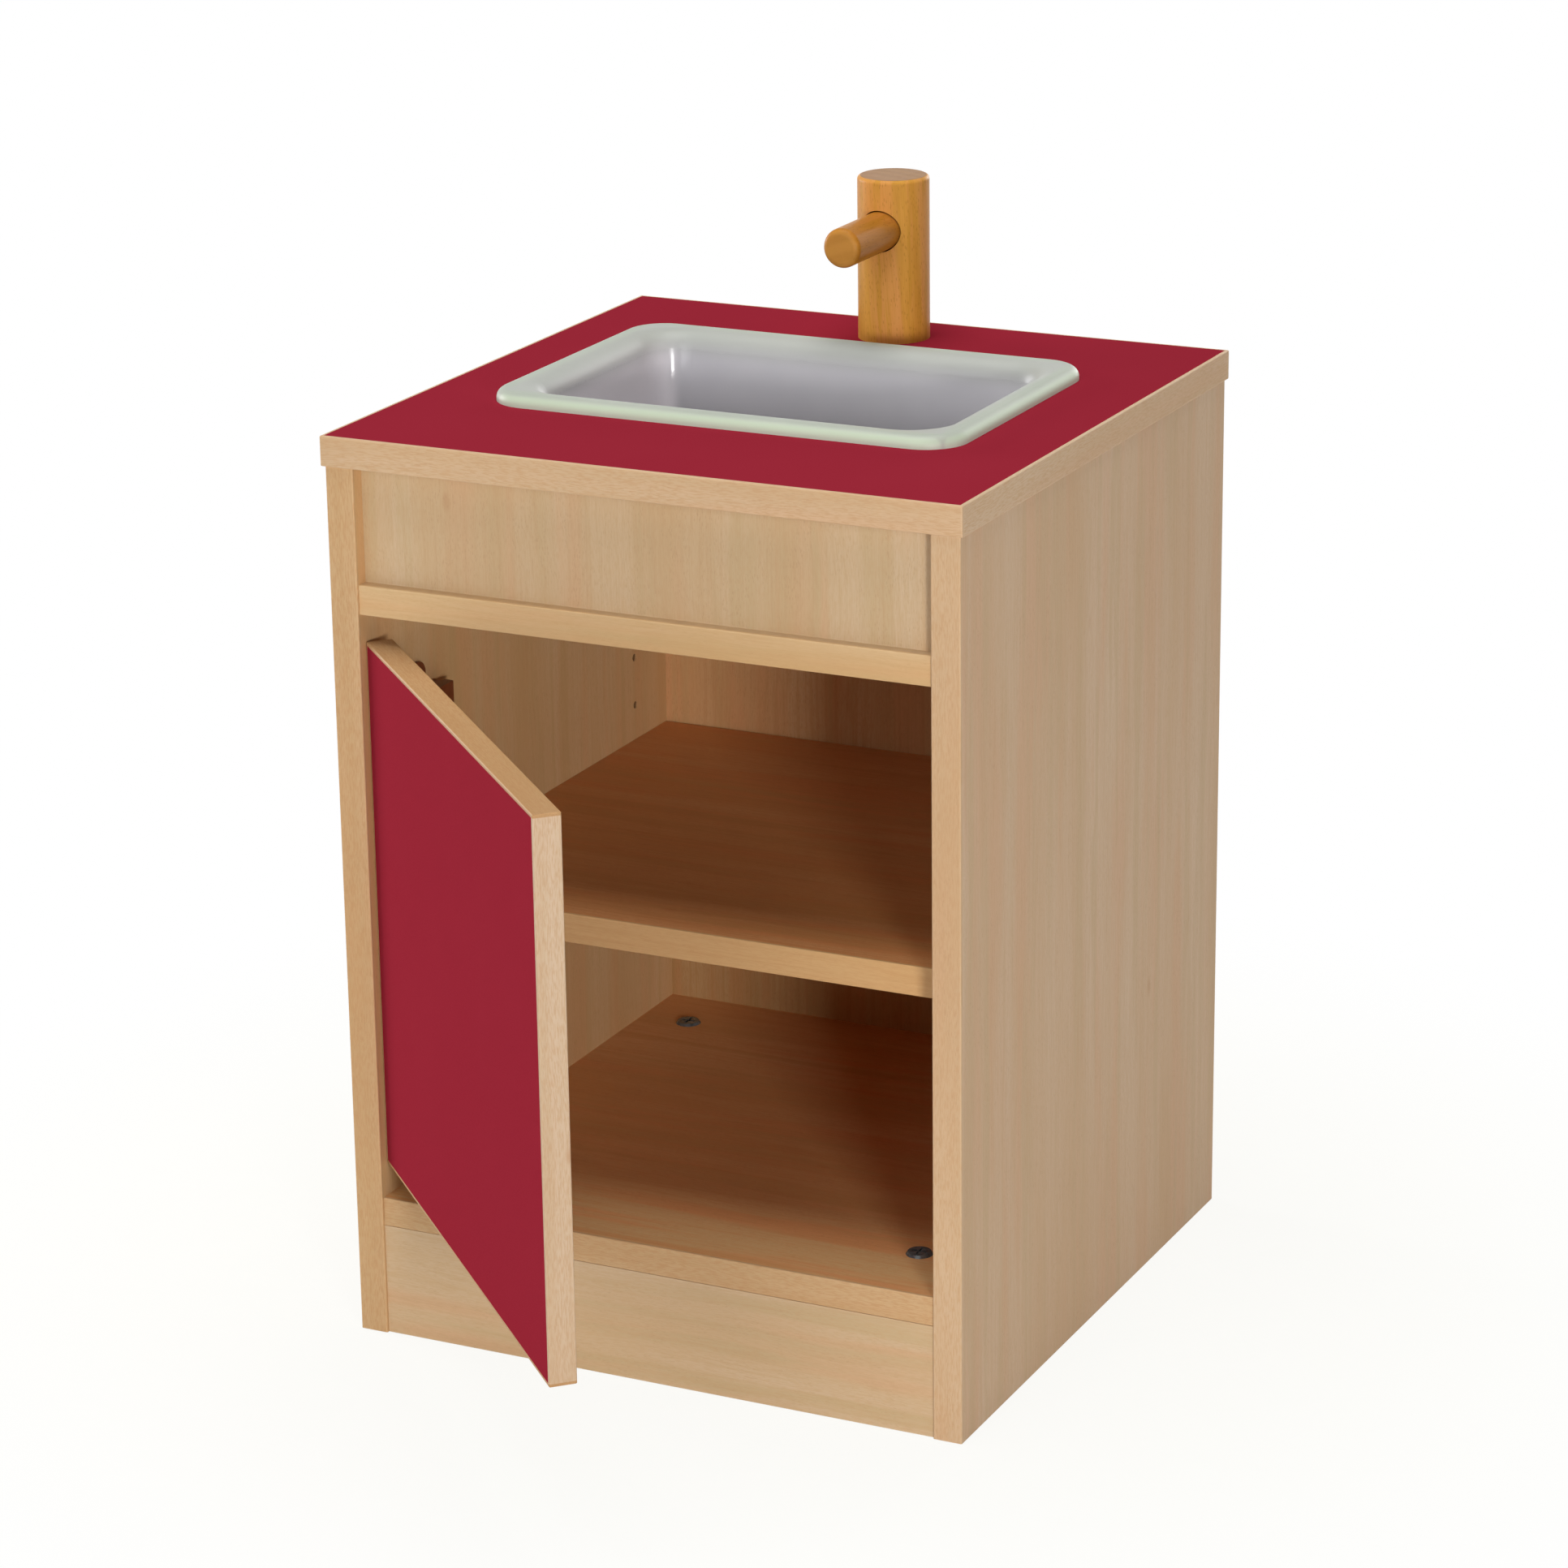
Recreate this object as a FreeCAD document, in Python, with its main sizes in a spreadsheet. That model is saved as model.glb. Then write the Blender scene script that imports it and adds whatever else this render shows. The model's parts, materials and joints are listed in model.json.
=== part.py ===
import FreeCAD, Part
import math
import os
import re

import Sketcher

# A child's play-kitchen sink unit: a beech board cabinet with a red worktop, a drop-in
# white bowl, a wooden tap and one red inset door that hangs on two cup hinges.
# Millimetres. The origin is on the floor in the middle of the cabinet, the front faces -Y
# and +X is the viewer's right.

SIZES = {
    # overall
    "carcass_width": 400,
    "carcass_depth": 400,
    "total_height": 560,
    # boards, edge bands and laminates
    "board": 18,
    "band": 2,
    "band_round": 0.8,
    "skin": 0.8,
    "overhang": 2,
    # heights and set-backs of the fixed boards
    "plinth_height": 70,
    "fascia_height": 70,
    "front_recess": 2,
    "fascia_recess": 10,
    "back_thick": 8,
    "back_inset": 5,
    "groove_depth": 6,
    # drilled columns in the side panels
    "column_inset": 57,
    "pitch": 32,
    "pin_hole_dia": 5,
    "pin_hole_depth": 10,
    # shelf
    "shelf_setback": 24,
    "shelf_end_gap": 0.3,
    "shelf_back_gap": 2,
    # fasteners
    "fit": 0.15,
    "dowel_dia": 8,
    "dowel_length": 30,
    "dowel_in_side": 12,
    "dowel_in_face": 10,
    "dowel_end_bevel": 1,
    "rail_dowel_spacing": 180,
    "cam_dia": 15,
    "cam_floor": 1,
    "cam_reach": 34,
    "cam_slot": 8,
    "collar_dia": 16.4,
    "collar_height": 1.6,
    "collar_bevel": 1.2,
    "bolt_in_side": 11,
    "bolt_shank_dia": 6,
    "bolt_head_dia": 7,
    "bolt_head_length": 3,
    "housing_dia": 18,
    "housing_reach": 9.5,
    "housing_below_surface": 0.4,
    "drive_width": 1.6,
    "drive_depth": 1.2,
    "block_side": 20,
    "block_length": 30,
    "block_screw_dia": 4,
    "block_screw_grip": 12,
    "block_screw_inset": 12,
    "block_screw_spread": 9,
    # sink, which stands a little to the left together with the tap
    "fixture_shift": -2.3,
    "sink_side_gap": 51,
    "sink_front_gap": 103.5,
    "sink_rear_gap": 89.5,
    "rim_width": 20,
    "rim_height": 7.5,
    "rim_corner": 26,
    "rim_round_out": 6,
    "rim_round_in": 13,
    "bowl_corner": 24,
    "bowl_wall": 3,
    "bowl_draft": 10,
    "bowl_floor_gap": 7,
    "bowl_floor_round": 8,
    "cutout_gap": 2,
    # tap
    "post_dia": 44.5,
    "post_height": 101.5,
    "post_rear_gap": 45,
    "post_round": 2.5,
    "spout_dia": 24.4,
    "spout_height": 70,
    "spout_reach": 77.5,
    "spout_socket": 8,
    "spout_gap": 0.8,
    "spout_round": 4,
    "tap_screw_dia": 8,
    "tap_screw_in_post": 40,
    "tap_screw_head_dia": 14,
    "tap_screw_head": 5,
    "washer_dia": 26,
    "washer_thick": 2,
    # door
    "door_thick": 16,
    "door_swing_gap": 0.14751,
    "door_finger_gap": 17.5,
    "door_top_gap": 17.5,
    "door_bottom_gap": 21.4,
    "door_recess": 0.6,
    "door_open_angle": 45.2,
    # hinges
    "pivot_inset": 7,
    "pivot_depth": 6.5,
    "hinge_from_top": 51.5,
    "hinge_from_bottom": 50,
    "wing_width": 28,
    "wing_height": 48,
    "wing_thick": 2.5,
    "wing_round": 8,
    "mount_front": 22,
    "mount_rear": 25,
    "mount_height": 16,
    "arm_thick": 5,
    "arm_cover": 6,
    "arm_tall": 14,
    "arm_front": 27,
    "arm_rear": 28,
    "knuckle_dia": 6.4,
    "knuckle_gap": 0.3,
    "hinge_pin_dia": 3,
    "hinge_pin_gap": 0.3,
    "lug_tall": 3.7,
    "lug_clearance": 0.5,
    "cup_from_edge": 11,
    "cup_width": 30,
    "cup_height": 30,
    "cup_wall": 2.5,
    "flange_width": 34,
    "flange_height": 52,
    "flange_thick": 1.5,
    "hinge_screw_dia": 3.8,
    "hinge_screw_grip": 11,
    "hinge_screw_head_dia": 7.6,
    "hinge_screw_head": 2,
    "wing_screw_spacing": 32,
    "flange_screw_spacing": 42,
    "arm_screw_dia": 4,
    "arm_screw_grip": 5,
    "arm_screw_rear": 12,
}

# Places that several pieces share, written in terms of the sizes
INNER_X = "(carcass_width / 2 - board)"
FRONT_Y = "(-carcass_depth / 2)"
REAR_Y = "(carcass_depth / 2)"
PANEL_FRONT_Y = "(-carcass_depth / 2 + front_recess)"
BACK_Y = "(carcass_depth / 2 - back_inset - back_thick)"
WORKTOP_Z = "(total_height - board)"
UPPER_Z = "(total_height - board - fascia_height - board)"
BOTTOM_Z = "plinth_height"
COLUMN_Y = ("(-carcass_depth / 2 + column_inset)", "(carcass_depth / 2 - column_inset)")
DOWEL_Y = (COLUMN_Y[0] + " + pitch", COLUMN_Y[1] + " - pitch")
FASCIA_MID_Y = "(-carcass_depth / 2 + fascia_recess + board / 2)"
PLINTH_MID_Y = "(-carcass_depth / 2 + front_recess + board / 2)"
# the shelf lies halfway between the bottom panel and the upper panel
SHELF_MID_Z = "((plinth_height + total_height - board - fascia_height) / 2)"
# a lock reaches past the bolt's slot by the lock's own floor
LOCK_DEPTH = "(board / 2 + cam_slot / 2 + cam_floor)"
COLLAR_TOP = "(board / 2 + cam_slot / 2 + cam_floor + collar_height)"
HOUSING_HEIGHT = "(board / 2 + cam_slot / 2 + cam_floor - housing_below_surface)"
POST_Y = "(carcass_depth / 2 + overhang - post_rear_gap)"
SPOUT_Z = "(total_height + spout_height)"
SINK_WIDTH = "(carcass_width + 2 * overhang - 2 * sink_side_gap)"
SINK_DEPTH = "(carcass_depth + 2 * overhang - sink_front_gap - sink_rear_gap)"
SINK_Y = "((sink_front_gap - sink_rear_gap) / 2)"
# the door's front hinge corner sweeps round the hinge axis and clears the wall by the swing gap
PIVOT_OUT = "((pivot_inset ^ 2 + pivot_depth ^ 2) ^ 0.5 + door_swing_gap)"
DOOR_WIDTH = f"(carcass_width - 2 * board - {PIVOT_OUT} + pivot_inset - door_finger_gap)"
DOOR_LOW_Z = "(plinth_height + board + door_bottom_gap)"
DOOR_HIGH_Z = "(total_height - 2 * board - fascia_height - door_top_gap)"
PIVOT_X = f"(-carcass_width / 2 + board + {PIVOT_OUT})"
PIVOT_Y = "(-carcass_depth / 2 + door_recess + pivot_depth)"
# the hinge axis as seen from the hinge plate's middle on the wall
PIVOT_FORWARD = "(column_inset - door_recess - pivot_depth)"
ARM_BACK_OUT = f"({PIVOT_OUT} - arm_thick / 2)"
HINGE_Z = (DOOR_LOW_Z + " + hinge_from_bottom", DOOR_HIGH_Z + " - hinge_from_top")
# the door's back and the cup, as seen from the hinge axis with the door closed
DOOR_BACK = "(door_thick - pivot_depth)"
CUP_X = "(cup_from_edge - pivot_inset)"
CUP_SCREW_X = "(cup_from_edge - pivot_inset + cup_width / 2)"
LUG_RELIEF = "(pivot_depth - knuckle_dia / 2 - lug_clearance)"
SIDES = (-1, 1)

UPRIGHT = FreeCAD.Rotation()
UPSIDE_DOWN = FreeCAD.Rotation(FreeCAD.Vector(1, 0, 0), 180)
HALF_TURN = FreeCAD.Rotation(FreeCAD.Vector(0, 0, 1), 180)
TURNS = {
    "X": FreeCAD.Rotation(FreeCAD.Vector(0, 1, 0), 90),
    "Y": FreeCAD.Rotation(FreeCAD.Vector(1, 0, 0), -90),
    "Z": UPRIGHT,
}
TOUCH = 1e-4
DRIVE_SHARE = 0.3

doc = FreeCAD.newDocument("sink_unit")
sheet = doc.addObject("Spreadsheet::Sheet", "dims")
nodes = []


# Sheet and binding helpers
def fill_sheet():
    for row, (name, value) in enumerate(SIZES.items(), start=1):
        sheet.set(f"A{row}", name)
        sheet.set(f"B{row}", str(value))
        sheet.setAlias(f"B{row}", name)
    doc.recompute()


def to_cells(text):
    """Turn the size names in an expression into references to the sheet."""
    return re.sub(r"[a-z_]+", lambda word: f"dims.{word.group()}", str(text))


def bind(thing, path, text):
    thing.setExpression(path, to_cells(text))


def bind_point(thing, path, point):
    for axis, text in zip("xyz", point):
        bind(thing, f"{path}.{axis}", text)


def hang(thing):
    """Put a piece drawn round the hinge axis on the door, open as it stands."""
    thing.Placement = FreeCAD.Placement(FreeCAD.Vector(), FreeCAD.Vector(0, 0, 1), -1)
    bind_point(thing, "Placement.Base", (PIVOT_X, PIVOT_Y, "0"))
    bind(thing, "Placement.Rotation.Angle", "-door_open_angle")


def node(label, thing):
    """Name a finished sub-part, whose label is also its file's name."""
    thing.Label = label
    nodes.append(thing)
    return thing


# Plain solids
def box(corner, size):
    solid = doc.addObject("Part::Box", "box")
    bind_point(solid, "Placement.Base", corner)
    for path, text in zip(("Length", "Width", "Height"), size):
        bind(solid, path, text)
    return solid


def rod(start, axis, dia, length):
    solid = doc.addObject("Part::Cylinder", "rod")
    solid.Placement.Rotation = TURNS[axis]
    bind_point(solid, "Placement.Base", start)
    bind(solid, "Radius", f"({dia}) / 2")
    bind(solid, "Height", length)
    return solid


def cone(start, low_dia, top_dia, height):
    solid = doc.addObject("Part::Cone", "cone")
    bind_point(solid, "Placement.Base", start)
    bind(solid, "Radius1", f"({low_dia}) / 2")
    bind(solid, "Radius2", f"({top_dia}) / 2")
    bind(solid, "Height", height)
    return solid


def fuse(pieces):
    whole = doc.addObject("Part::MultiFuse", "fuse")
    whole.Shapes = pieces
    return whole


def cut(blank, tools):
    whole = doc.addObject("Part::Cut", "cut")
    whole.Base = blank
    whole.Tool = fuse(tools) if len(tools) > 1 else tools[0]
    return whole


def copies(master, places):
    """Set one master piece at several places, as separate solids of one group."""
    links = []
    for point, turn in places:
        link = doc.addObject("App::Link", "copy")
        link.LinkedObject = master
        link.Placement.Rotation = turn
        bind_point(link, "Placement.Base", point)
        links.append(link)
    group = doc.addObject("Part::Compound", "group")
    group.Links = links
    return group


# Sketched bodies
def new_body():
    return doc.addObject("PartDesign::Body", "body")


def new_sketch(body, role, offset=("0", "0", "0")):
    sketch = body.newObject("Sketcher::SketchObject", "sketch")
    plane = [feature for feature in body.Origin.OriginFeatures if feature.Role == role][0]
    sketch.AttachmentSupport = [(plane, "")]
    sketch.MapMode = "FlatFace"
    bind_point(sketch, "AttachmentOffset.Base", offset)
    return sketch


def size_constraint(sketch, name, constraint, text):
    index = sketch.addConstraint(constraint)
    sketch.renameConstraint(index, name)
    bind(sketch, f"Constraints.{name}", text)


def rectangle(sketch, width, height):
    """A rectangle that starts at the sketch's origin."""
    corners = [FreeCAD.Vector(*point) for point in ((0, 0), (9, 0), (9, 7), (0, 7))]
    sides = []
    for start, end in zip(corners, corners[1:] + corners[:1]):
        sides.append(sketch.addGeometry(Part.LineSegment(start, end), False))
    for side, following in zip(sides, sides[1:] + sides[:1]):
        sketch.addConstraint(Sketcher.Constraint("Coincident", side, 2, following, 1))
    for side in sides[0::2]:
        sketch.addConstraint(Sketcher.Constraint("Horizontal", side))
    for side in sides[1::2]:
        sketch.addConstraint(Sketcher.Constraint("Vertical", side))
    sketch.addConstraint(Sketcher.Constraint("Coincident", sides[0], 1, -1, 1))
    size_constraint(sketch, "wide", Sketcher.Constraint("DistanceX", 0, 1, 0, 2, 9), width)
    size_constraint(sketch, "tall", Sketcher.Constraint("DistanceY", 1, 1, 1, 2, 7), height)


def rounded_rectangle(sketch, width, height, radius):
    """A rectangle with round corners about the sketch's origin."""
    half_x, half_y, round_off = 20, 15, 5
    x, y = half_x - round_off, half_y - round_off
    straights = (
        ((-x, -half_y), (x, -half_y)),
        ((half_x, -y), (half_x, y)),
        ((x, half_y), (-x, half_y)),
        ((-half_x, y), (-half_x, -y)),
    )
    centres = ((x, -y), (x, y), (-x, y), (-x, -y))
    lines, arcs = [], []
    for start, end in straights:
        line = Part.LineSegment(FreeCAD.Vector(*start), FreeCAD.Vector(*end))
        lines.append(sketch.addGeometry(line, False))
    for quarter, centre in enumerate(centres):
        ring = Part.Circle(FreeCAD.Vector(*centre), FreeCAD.Vector(0, 0, 1), round_off)
        start = (quarter - 1) * math.pi / 2
        arcs.append(sketch.addGeometry(Part.ArcOfCircle(ring, start, start + math.pi / 2), False))
    for line, arc, following in zip(lines, arcs, lines[1:] + lines[:1]):
        sketch.addConstraint(Sketcher.Constraint("Tangent", line, 2, arc, 1))
        sketch.addConstraint(Sketcher.Constraint("Tangent", arc, 2, following, 1))
    for arc in arcs[1:]:
        sketch.addConstraint(Sketcher.Constraint("Equal", arcs[0], arc))
    bottom, right, top, left = lines
    sketch.addConstraint(Sketcher.Constraint("Horizontal", top))
    sketch.addConstraint(Sketcher.Constraint("Vertical", left))
    sketch.addConstraint(Sketcher.Constraint("Symmetric", bottom, 1, bottom, 2, -2))
    sketch.addConstraint(Sketcher.Constraint("Symmetric", right, 1, right, 2, -1))
    across = Sketcher.Constraint("DistanceX", left, 1, right, 1, 2 * half_x)
    upward = Sketcher.Constraint("DistanceY", bottom, 1, top, 1, 2 * half_y)
    size_constraint(sketch, "wide", across, width)
    size_constraint(sketch, "tall", upward, height)
    size_constraint(sketch, "corner", Sketcher.Constraint("Radius", arcs[0], round_off), radius)


def circle(sketch, dia):
    """A circle round the sketch's origin."""
    ring = sketch.addGeometry(Part.Circle(FreeCAD.Vector(), FreeCAD.Vector(0, 0, 1), 5), False)
    sketch.addConstraint(Sketcher.Constraint("Coincident", ring, 3, -1, 1))
    size_constraint(sketch, "dia", Sketcher.Constraint("Diameter", ring, 10), dia)


def pad(body, sketch, length, down=False, taper=None):
    feature = body.newObject("PartDesign::Pad", "pad")
    feature.Profile = sketch
    feature.Reversed = down
    bind(feature, "Length", length)
    if taper:
        bind(feature, "TaperAngle", taper)
    doc.recompute()
    return feature


def pocket(body, sketch, depth, forward=False, taper=None):
    before = body.Shape.Volume
    feature = body.newObject("PartDesign::Pocket", "pocket")
    feature.Profile = sketch
    feature.Reversed = forward
    bind(feature, "Length", depth)
    if taper:
        bind(feature, "TaperAngle", taper)
    doc.recompute()
    if not feature.Shape.Volume < before:
        raise RuntimeError(f"{body.Label}: a pocket cut nothing")
    return feature


def dress(body, kind, base, wanted, radius):
    """Round or bevel the edges of the last feature that pass a test."""
    names = [f"Edge{i}" for i, edge in enumerate(base.Shape.Edges, start=1) if wanted(edge)]
    feature = body.newObject(f"PartDesign::{kind}", kind.lower())
    feature.Base = (base, names)
    bind(feature, "Radius" if kind == "Fillet" else "Size", radius)
    doc.recompute()
    return feature


def off_plane(axis, level):
    """Test for the edges that don't lie wholly on the plane at a level of one axis."""

    def wanted(edge):
        return any(abs(getattr(vertex, axis) - level) > TOUCH for vertex in edge.Vertexes)

    return wanted


def runs_along(axis, side_axis, side):
    """Test for the straight edges along one axis on the low or high side of another."""

    def wanted(edge):
        bounds = edge.BoundBox
        length = getattr(bounds, f"{axis}Length")
        low = getattr(bounds, f"{side_axis}Min")
        high = getattr(bounds, f"{side_axis}Max")
        return length > bounds.DiagonalLength - TOUCH and abs(low - side) < TOUCH and high - low < TOUCH

    return wanted


def at_level(level, inside=None):
    """Test for the edges at one height, inside an outline's bounds where one is given."""

    def wanted(edge):
        bounds = edge.BoundBox
        level_edge = abs(bounds.ZMin - level) < TOUCH and abs(bounds.ZMax - level) < TOUCH
        if inside is None:
            return level_edge
        fits_x = bounds.XMin > inside.XMin - TOUCH and bounds.XMax < inside.XMax + TOUCH
        fits_y = bounds.YMin > inside.YMin - TOUCH and bounds.YMax < inside.YMax + TOUCH
        return level_edge and fits_x and fits_y

    return wanted


def plate(corner, size, on_door=False):
    """A board or strip padded up from a rectangle, or one that is drawn round the hinge axis."""
    body = new_body()
    sketch = new_sketch(body, "XY_Plane", corner if on_door else ("0", "0", "0"))
    rectangle(sketch, size[0], size[1])
    pad(body, sketch, size[2])
    if not on_door:
        bind_point(body, "Placement.Base", corner)
    return body


def round_band(body, axis, inner_high):
    """Round a band's edges, all but those on the face that is glued to the board."""
    bounds = body.Tip.Shape.BoundBox
    level = getattr(bounds, f"{axis}Max" if inner_high else f"{axis}Min")
    dress(body, "Fillet", body.Tip, off_plane(axis, level), "band_round")
    return body


def round_front_edges(body, axis):
    """Round the two long front edges of a band that runs along one axis."""
    front = body.Tip.Shape.BoundBox.YMin
    dress(body, "Fillet", body.Tip, runs_along(axis, "Y", front), "band_round")
    return body


# Drillings shared by the boards
def panel_mids():
    """Middle heights of the two boards that are bolted between the side panels."""
    return f"{BOTTOM_Z} + board / 2", f"{UPPER_Z} + board / 2"


def side_hole(side, y, z, dia, depth):
    """A drilling from a side panel's inner face outwards."""
    start = f"-{INNER_X} - ({depth})" if side < 0 else INNER_X
    return rod((start, y, z), "X", dia, depth)


def end_hole(side, y, z, dia, depth):
    """A drilling into the end of a board that stands between the side panels."""
    start = f"-{INNER_X}" if side < 0 else f"{INNER_X} - ({depth})"
    return rod((start, y, z), "X", dia, depth)


def dowel_hole_dia():
    return "dowel_dia + 2 * fit"


# Side panels
def side_panel(label, side):
    outer = "-carcass_width / 2" if side < 0 else INNER_X
    depth = "carcass_depth - band"
    blank = plate((outer, f"{FRONT_Y} + band", "0"), ("board", depth, WORKTOP_Z))
    groove_x = f"-{INNER_X} - groove_depth" if side < 0 else INNER_X
    groove = (groove_x, BACK_Y, BOTTOM_Z)
    tools = [box(groove, ("groove_depth", "back_thick", f"{WORKTOP_Z} - {BOTTOM_Z}"))]
    for y in COLUMN_Y:
        for step in (-2, -1, 0, 1, 2):
            height = f"{SHELF_MID_Z} + {step} * pitch"
            tools.append(side_hole(side, y, height, "pin_hole_dia", "pin_hole_depth"))
        for z in panel_mids():
            tools.append(side_hole(side, y, z, "pin_hole_dia", "bolt_in_side"))
    for y in DOWEL_Y:
        for z in panel_mids():
            tools.append(side_hole(side, y, z, dowel_hole_dia(), "dowel_in_side"))
    for y, z in rail_dowel_places():
        tools.append(side_hole(side, y, z, dowel_hole_dia(), "dowel_in_side"))
    for y in block_places():
        hole = ("block_screw_dia + 2 * fit", "block_screw_grip")
        tools.append(side_hole(side, y, f"{WORKTOP_Z} - block_side / 2", *hole))
    if side < 0:
        for z in HINGE_Z:
            for sign in SIDES:
                screw_z = f"{z} + {sign} * wing_screw_spacing / 2"
                hole = ("hinge_screw_dia + 2 * fit", "hinge_screw_grip")
                tools.append(side_hole(side, COLUMN_Y[0], screw_z, *hole))
    node(label, cut(blank, tools))


def side_band(label, side):
    outer = "-carcass_width / 2" if side < 0 else INNER_X
    strip = plate((outer, FRONT_Y, "0"), ("board", "band", WORKTOP_Z))
    node(label, round_front_edges(strip, "Z"))


# Boards between the side panels
def rail_dowel_places():
    """Middle of the fascia's and the plinth's ends."""
    fascia = (FASCIA_MID_Y, f"{WORKTOP_Z} - fascia_height / 2")
    plinth = (PLINTH_MID_Y, "plinth_height / 2")
    return fascia, plinth


def rail_dowel_x():
    return "-rail_dowel_spacing / 2", "rail_dowel_spacing / 2"


def bolted_board(label, low_z, cams_below, face_y):
    """A board held to the side panels with cam locks and dowels."""
    front = f"{PANEL_FRONT_Y} + band"
    depth = f"{BACK_Y} - ({front})"
    blank = plate((f"-{INNER_X}", front, low_z), (f"2 * {INNER_X}", depth, "board"))
    mid_z = f"{low_z} + board / 2"
    tools = []
    for side in SIDES:
        for y in COLUMN_Y:
            tools.append(end_hole(side, y, mid_z, "cam_slot", "cam_reach"))
            cam_x = f"{side} * ({INNER_X} - cam_reach)"
            cam_z = low_z if cams_below else f"{low_z} + board - {LOCK_DEPTH}"
            tools.append(rod((cam_x, y, cam_z), "Z", "cam_dia", LOCK_DEPTH))
        for y in DOWEL_Y:
            depth_in = "dowel_length - dowel_in_side"
            tools.append(end_hole(side, y, mid_z, dowel_hole_dia(), depth_in))
    face_z = f"{low_z} + board - dowel_in_face" if cams_below else low_z
    for x in rail_dowel_x():
        tools.append(rod((x, face_y, face_z), "Z", dowel_hole_dia(), "dowel_in_face"))
    node(label, cut(blank, tools))


def board_band(label, low_z):
    strip = plate((f"-{INNER_X}", PANEL_FRONT_Y, low_z), (f"2 * {INNER_X}", "band", "board"))
    node(label, round_front_edges(strip, "X"))


def rail_board(label, front_y, low_z, height, mid_y, mid_z, face_z):
    """The fascia or the plinth: an upright board dowelled to its neighbours."""
    blank = plate((f"-{INNER_X}", front_y, low_z), (f"2 * {INNER_X}", "board", height))
    depth_in = "dowel_length - dowel_in_side"
    tools = [end_hole(side, mid_y, mid_z, dowel_hole_dia(), depth_in) for side in SIDES]
    for x in rail_dowel_x():
        hole = ("Z", dowel_hole_dia(), "dowel_length - dowel_in_face")
        tools.append(rod((x, mid_y, face_z), *hole))
    node(label, cut(blank, tools))


def back_panel():
    half = f"({INNER_X} + groove_depth)"
    size = (f"2 * {half}", "back_thick", f"{WORKTOP_Z} - {BOTTOM_Z}")
    node("back_panel", plate((f"-{half}", BACK_Y, BOTTOM_Z), size))


def shelf():
    half = f"({INNER_X} - shelf_end_gap)"
    front = f"{FRONT_Y} + shelf_setback"
    low_z = f"{SHELF_MID_Z} - board / 2"
    depth = f"{BACK_Y} - shelf_back_gap - ({front} + band)"
    blank = plate((f"-{half}", f"{front} + band", low_z), (f"2 * {half}", depth, "board"))
    tools = []
    for side in SIDES:
        for y in COLUMN_Y:
            start = f"-{half}" if side < 0 else f"{half} - housing_reach"
            tools.append(rod((start, y, SHELF_MID_Z), "X", "cam_slot", "housing_reach"))
            centre = f"{side} * ({half} - housing_reach)"
            tools.append(rod((centre, y, low_z), "Z", "housing_dia", LOCK_DEPTH))
    node("shelf_board", cut(blank, tools))
    strip = plate((f"-{half}", front, low_z), (f"2 * {half}", "band", "board"))
    node("shelf_front_band", round_front_edges(strip, "X"))


# Fasteners of the carcass
def dowels():
    body = new_body()
    sketch = new_sketch(body, "XY_Plane")
    circle(sketch, "dowel_dia")
    peg = pad(body, sketch, "dowel_length")
    dress(body, "Chamfer", peg, lambda edge: len(edge.Vertexes) == 1, "dowel_end_bevel")
    places = []
    across = [(y, z) for y in DOWEL_Y for z in panel_mids()] + list(rail_dowel_places())
    for y, z in across:
        left = f"-{INNER_X} - dowel_in_side"
        right = f"{INNER_X} + dowel_in_side - dowel_length"
        places += [((x, y, z), TURNS["X"]) for x in (left, right)]
    for x in rail_dowel_x():
        plinth_z = f"{BOTTOM_Z} + dowel_in_face - dowel_length"
        fascia_z = f"{UPPER_Z} + board - dowel_in_face"
        places.append(((x, PLINTH_MID_Y, plinth_z), UPRIGHT))
        places.append(((x, FASCIA_MID_Y, fascia_z), UPRIGHT))
    node("wooden_dowels", copies(body, places))


def drive_cross(dia, top_z):
    """Two crossed slots for a screwdriver, sunk from a top level."""
    low = f"{top_z} - drive_depth"
    reach = f"{dia} * {DRIVE_SHARE}"
    long_side = f"2 * {reach}"
    first = box((f"-({reach})", "-drive_width / 2", low), (long_side, "drive_width", "drive_depth"))
    second = box(("-drive_width / 2", f"-({reach})", low), ("drive_width", long_side, "drive_depth"))
    return [first, second]


def lock_slot(dia):
    """The slot that takes a bolt's head from the -X side."""
    corner = (f"-{dia}", "-cam_slot / 2", "cam_floor")
    return box(corner, (f"{dia} + cam_slot / 2", "cam_slot", "cam_slot"))


def cam_lock():
    """A turning lock with a bevelled collar that lies on the board."""
    disc = rod(("0", "0", "0"), "Z", "cam_dia - 2 * fit", LOCK_DEPTH)
    collar = cone(("0", "0", LOCK_DEPTH), "collar_dia", "collar_dia - 2 * collar_bevel", "collar_height")
    return cut(fuse([disc, collar]), [lock_slot("cam_dia")] + drive_cross("cam_dia", COLLAR_TOP))


def shelf_lock():
    """A turning lock sunk a little below the shelf's underside."""
    disc = rod(("0", "0", "0"), "Z", "housing_dia - 2 * fit", HOUSING_HEIGHT)
    return cut(disc, [lock_slot("housing_dia")] + drive_cross("housing_dia", HOUSING_HEIGHT))


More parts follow.
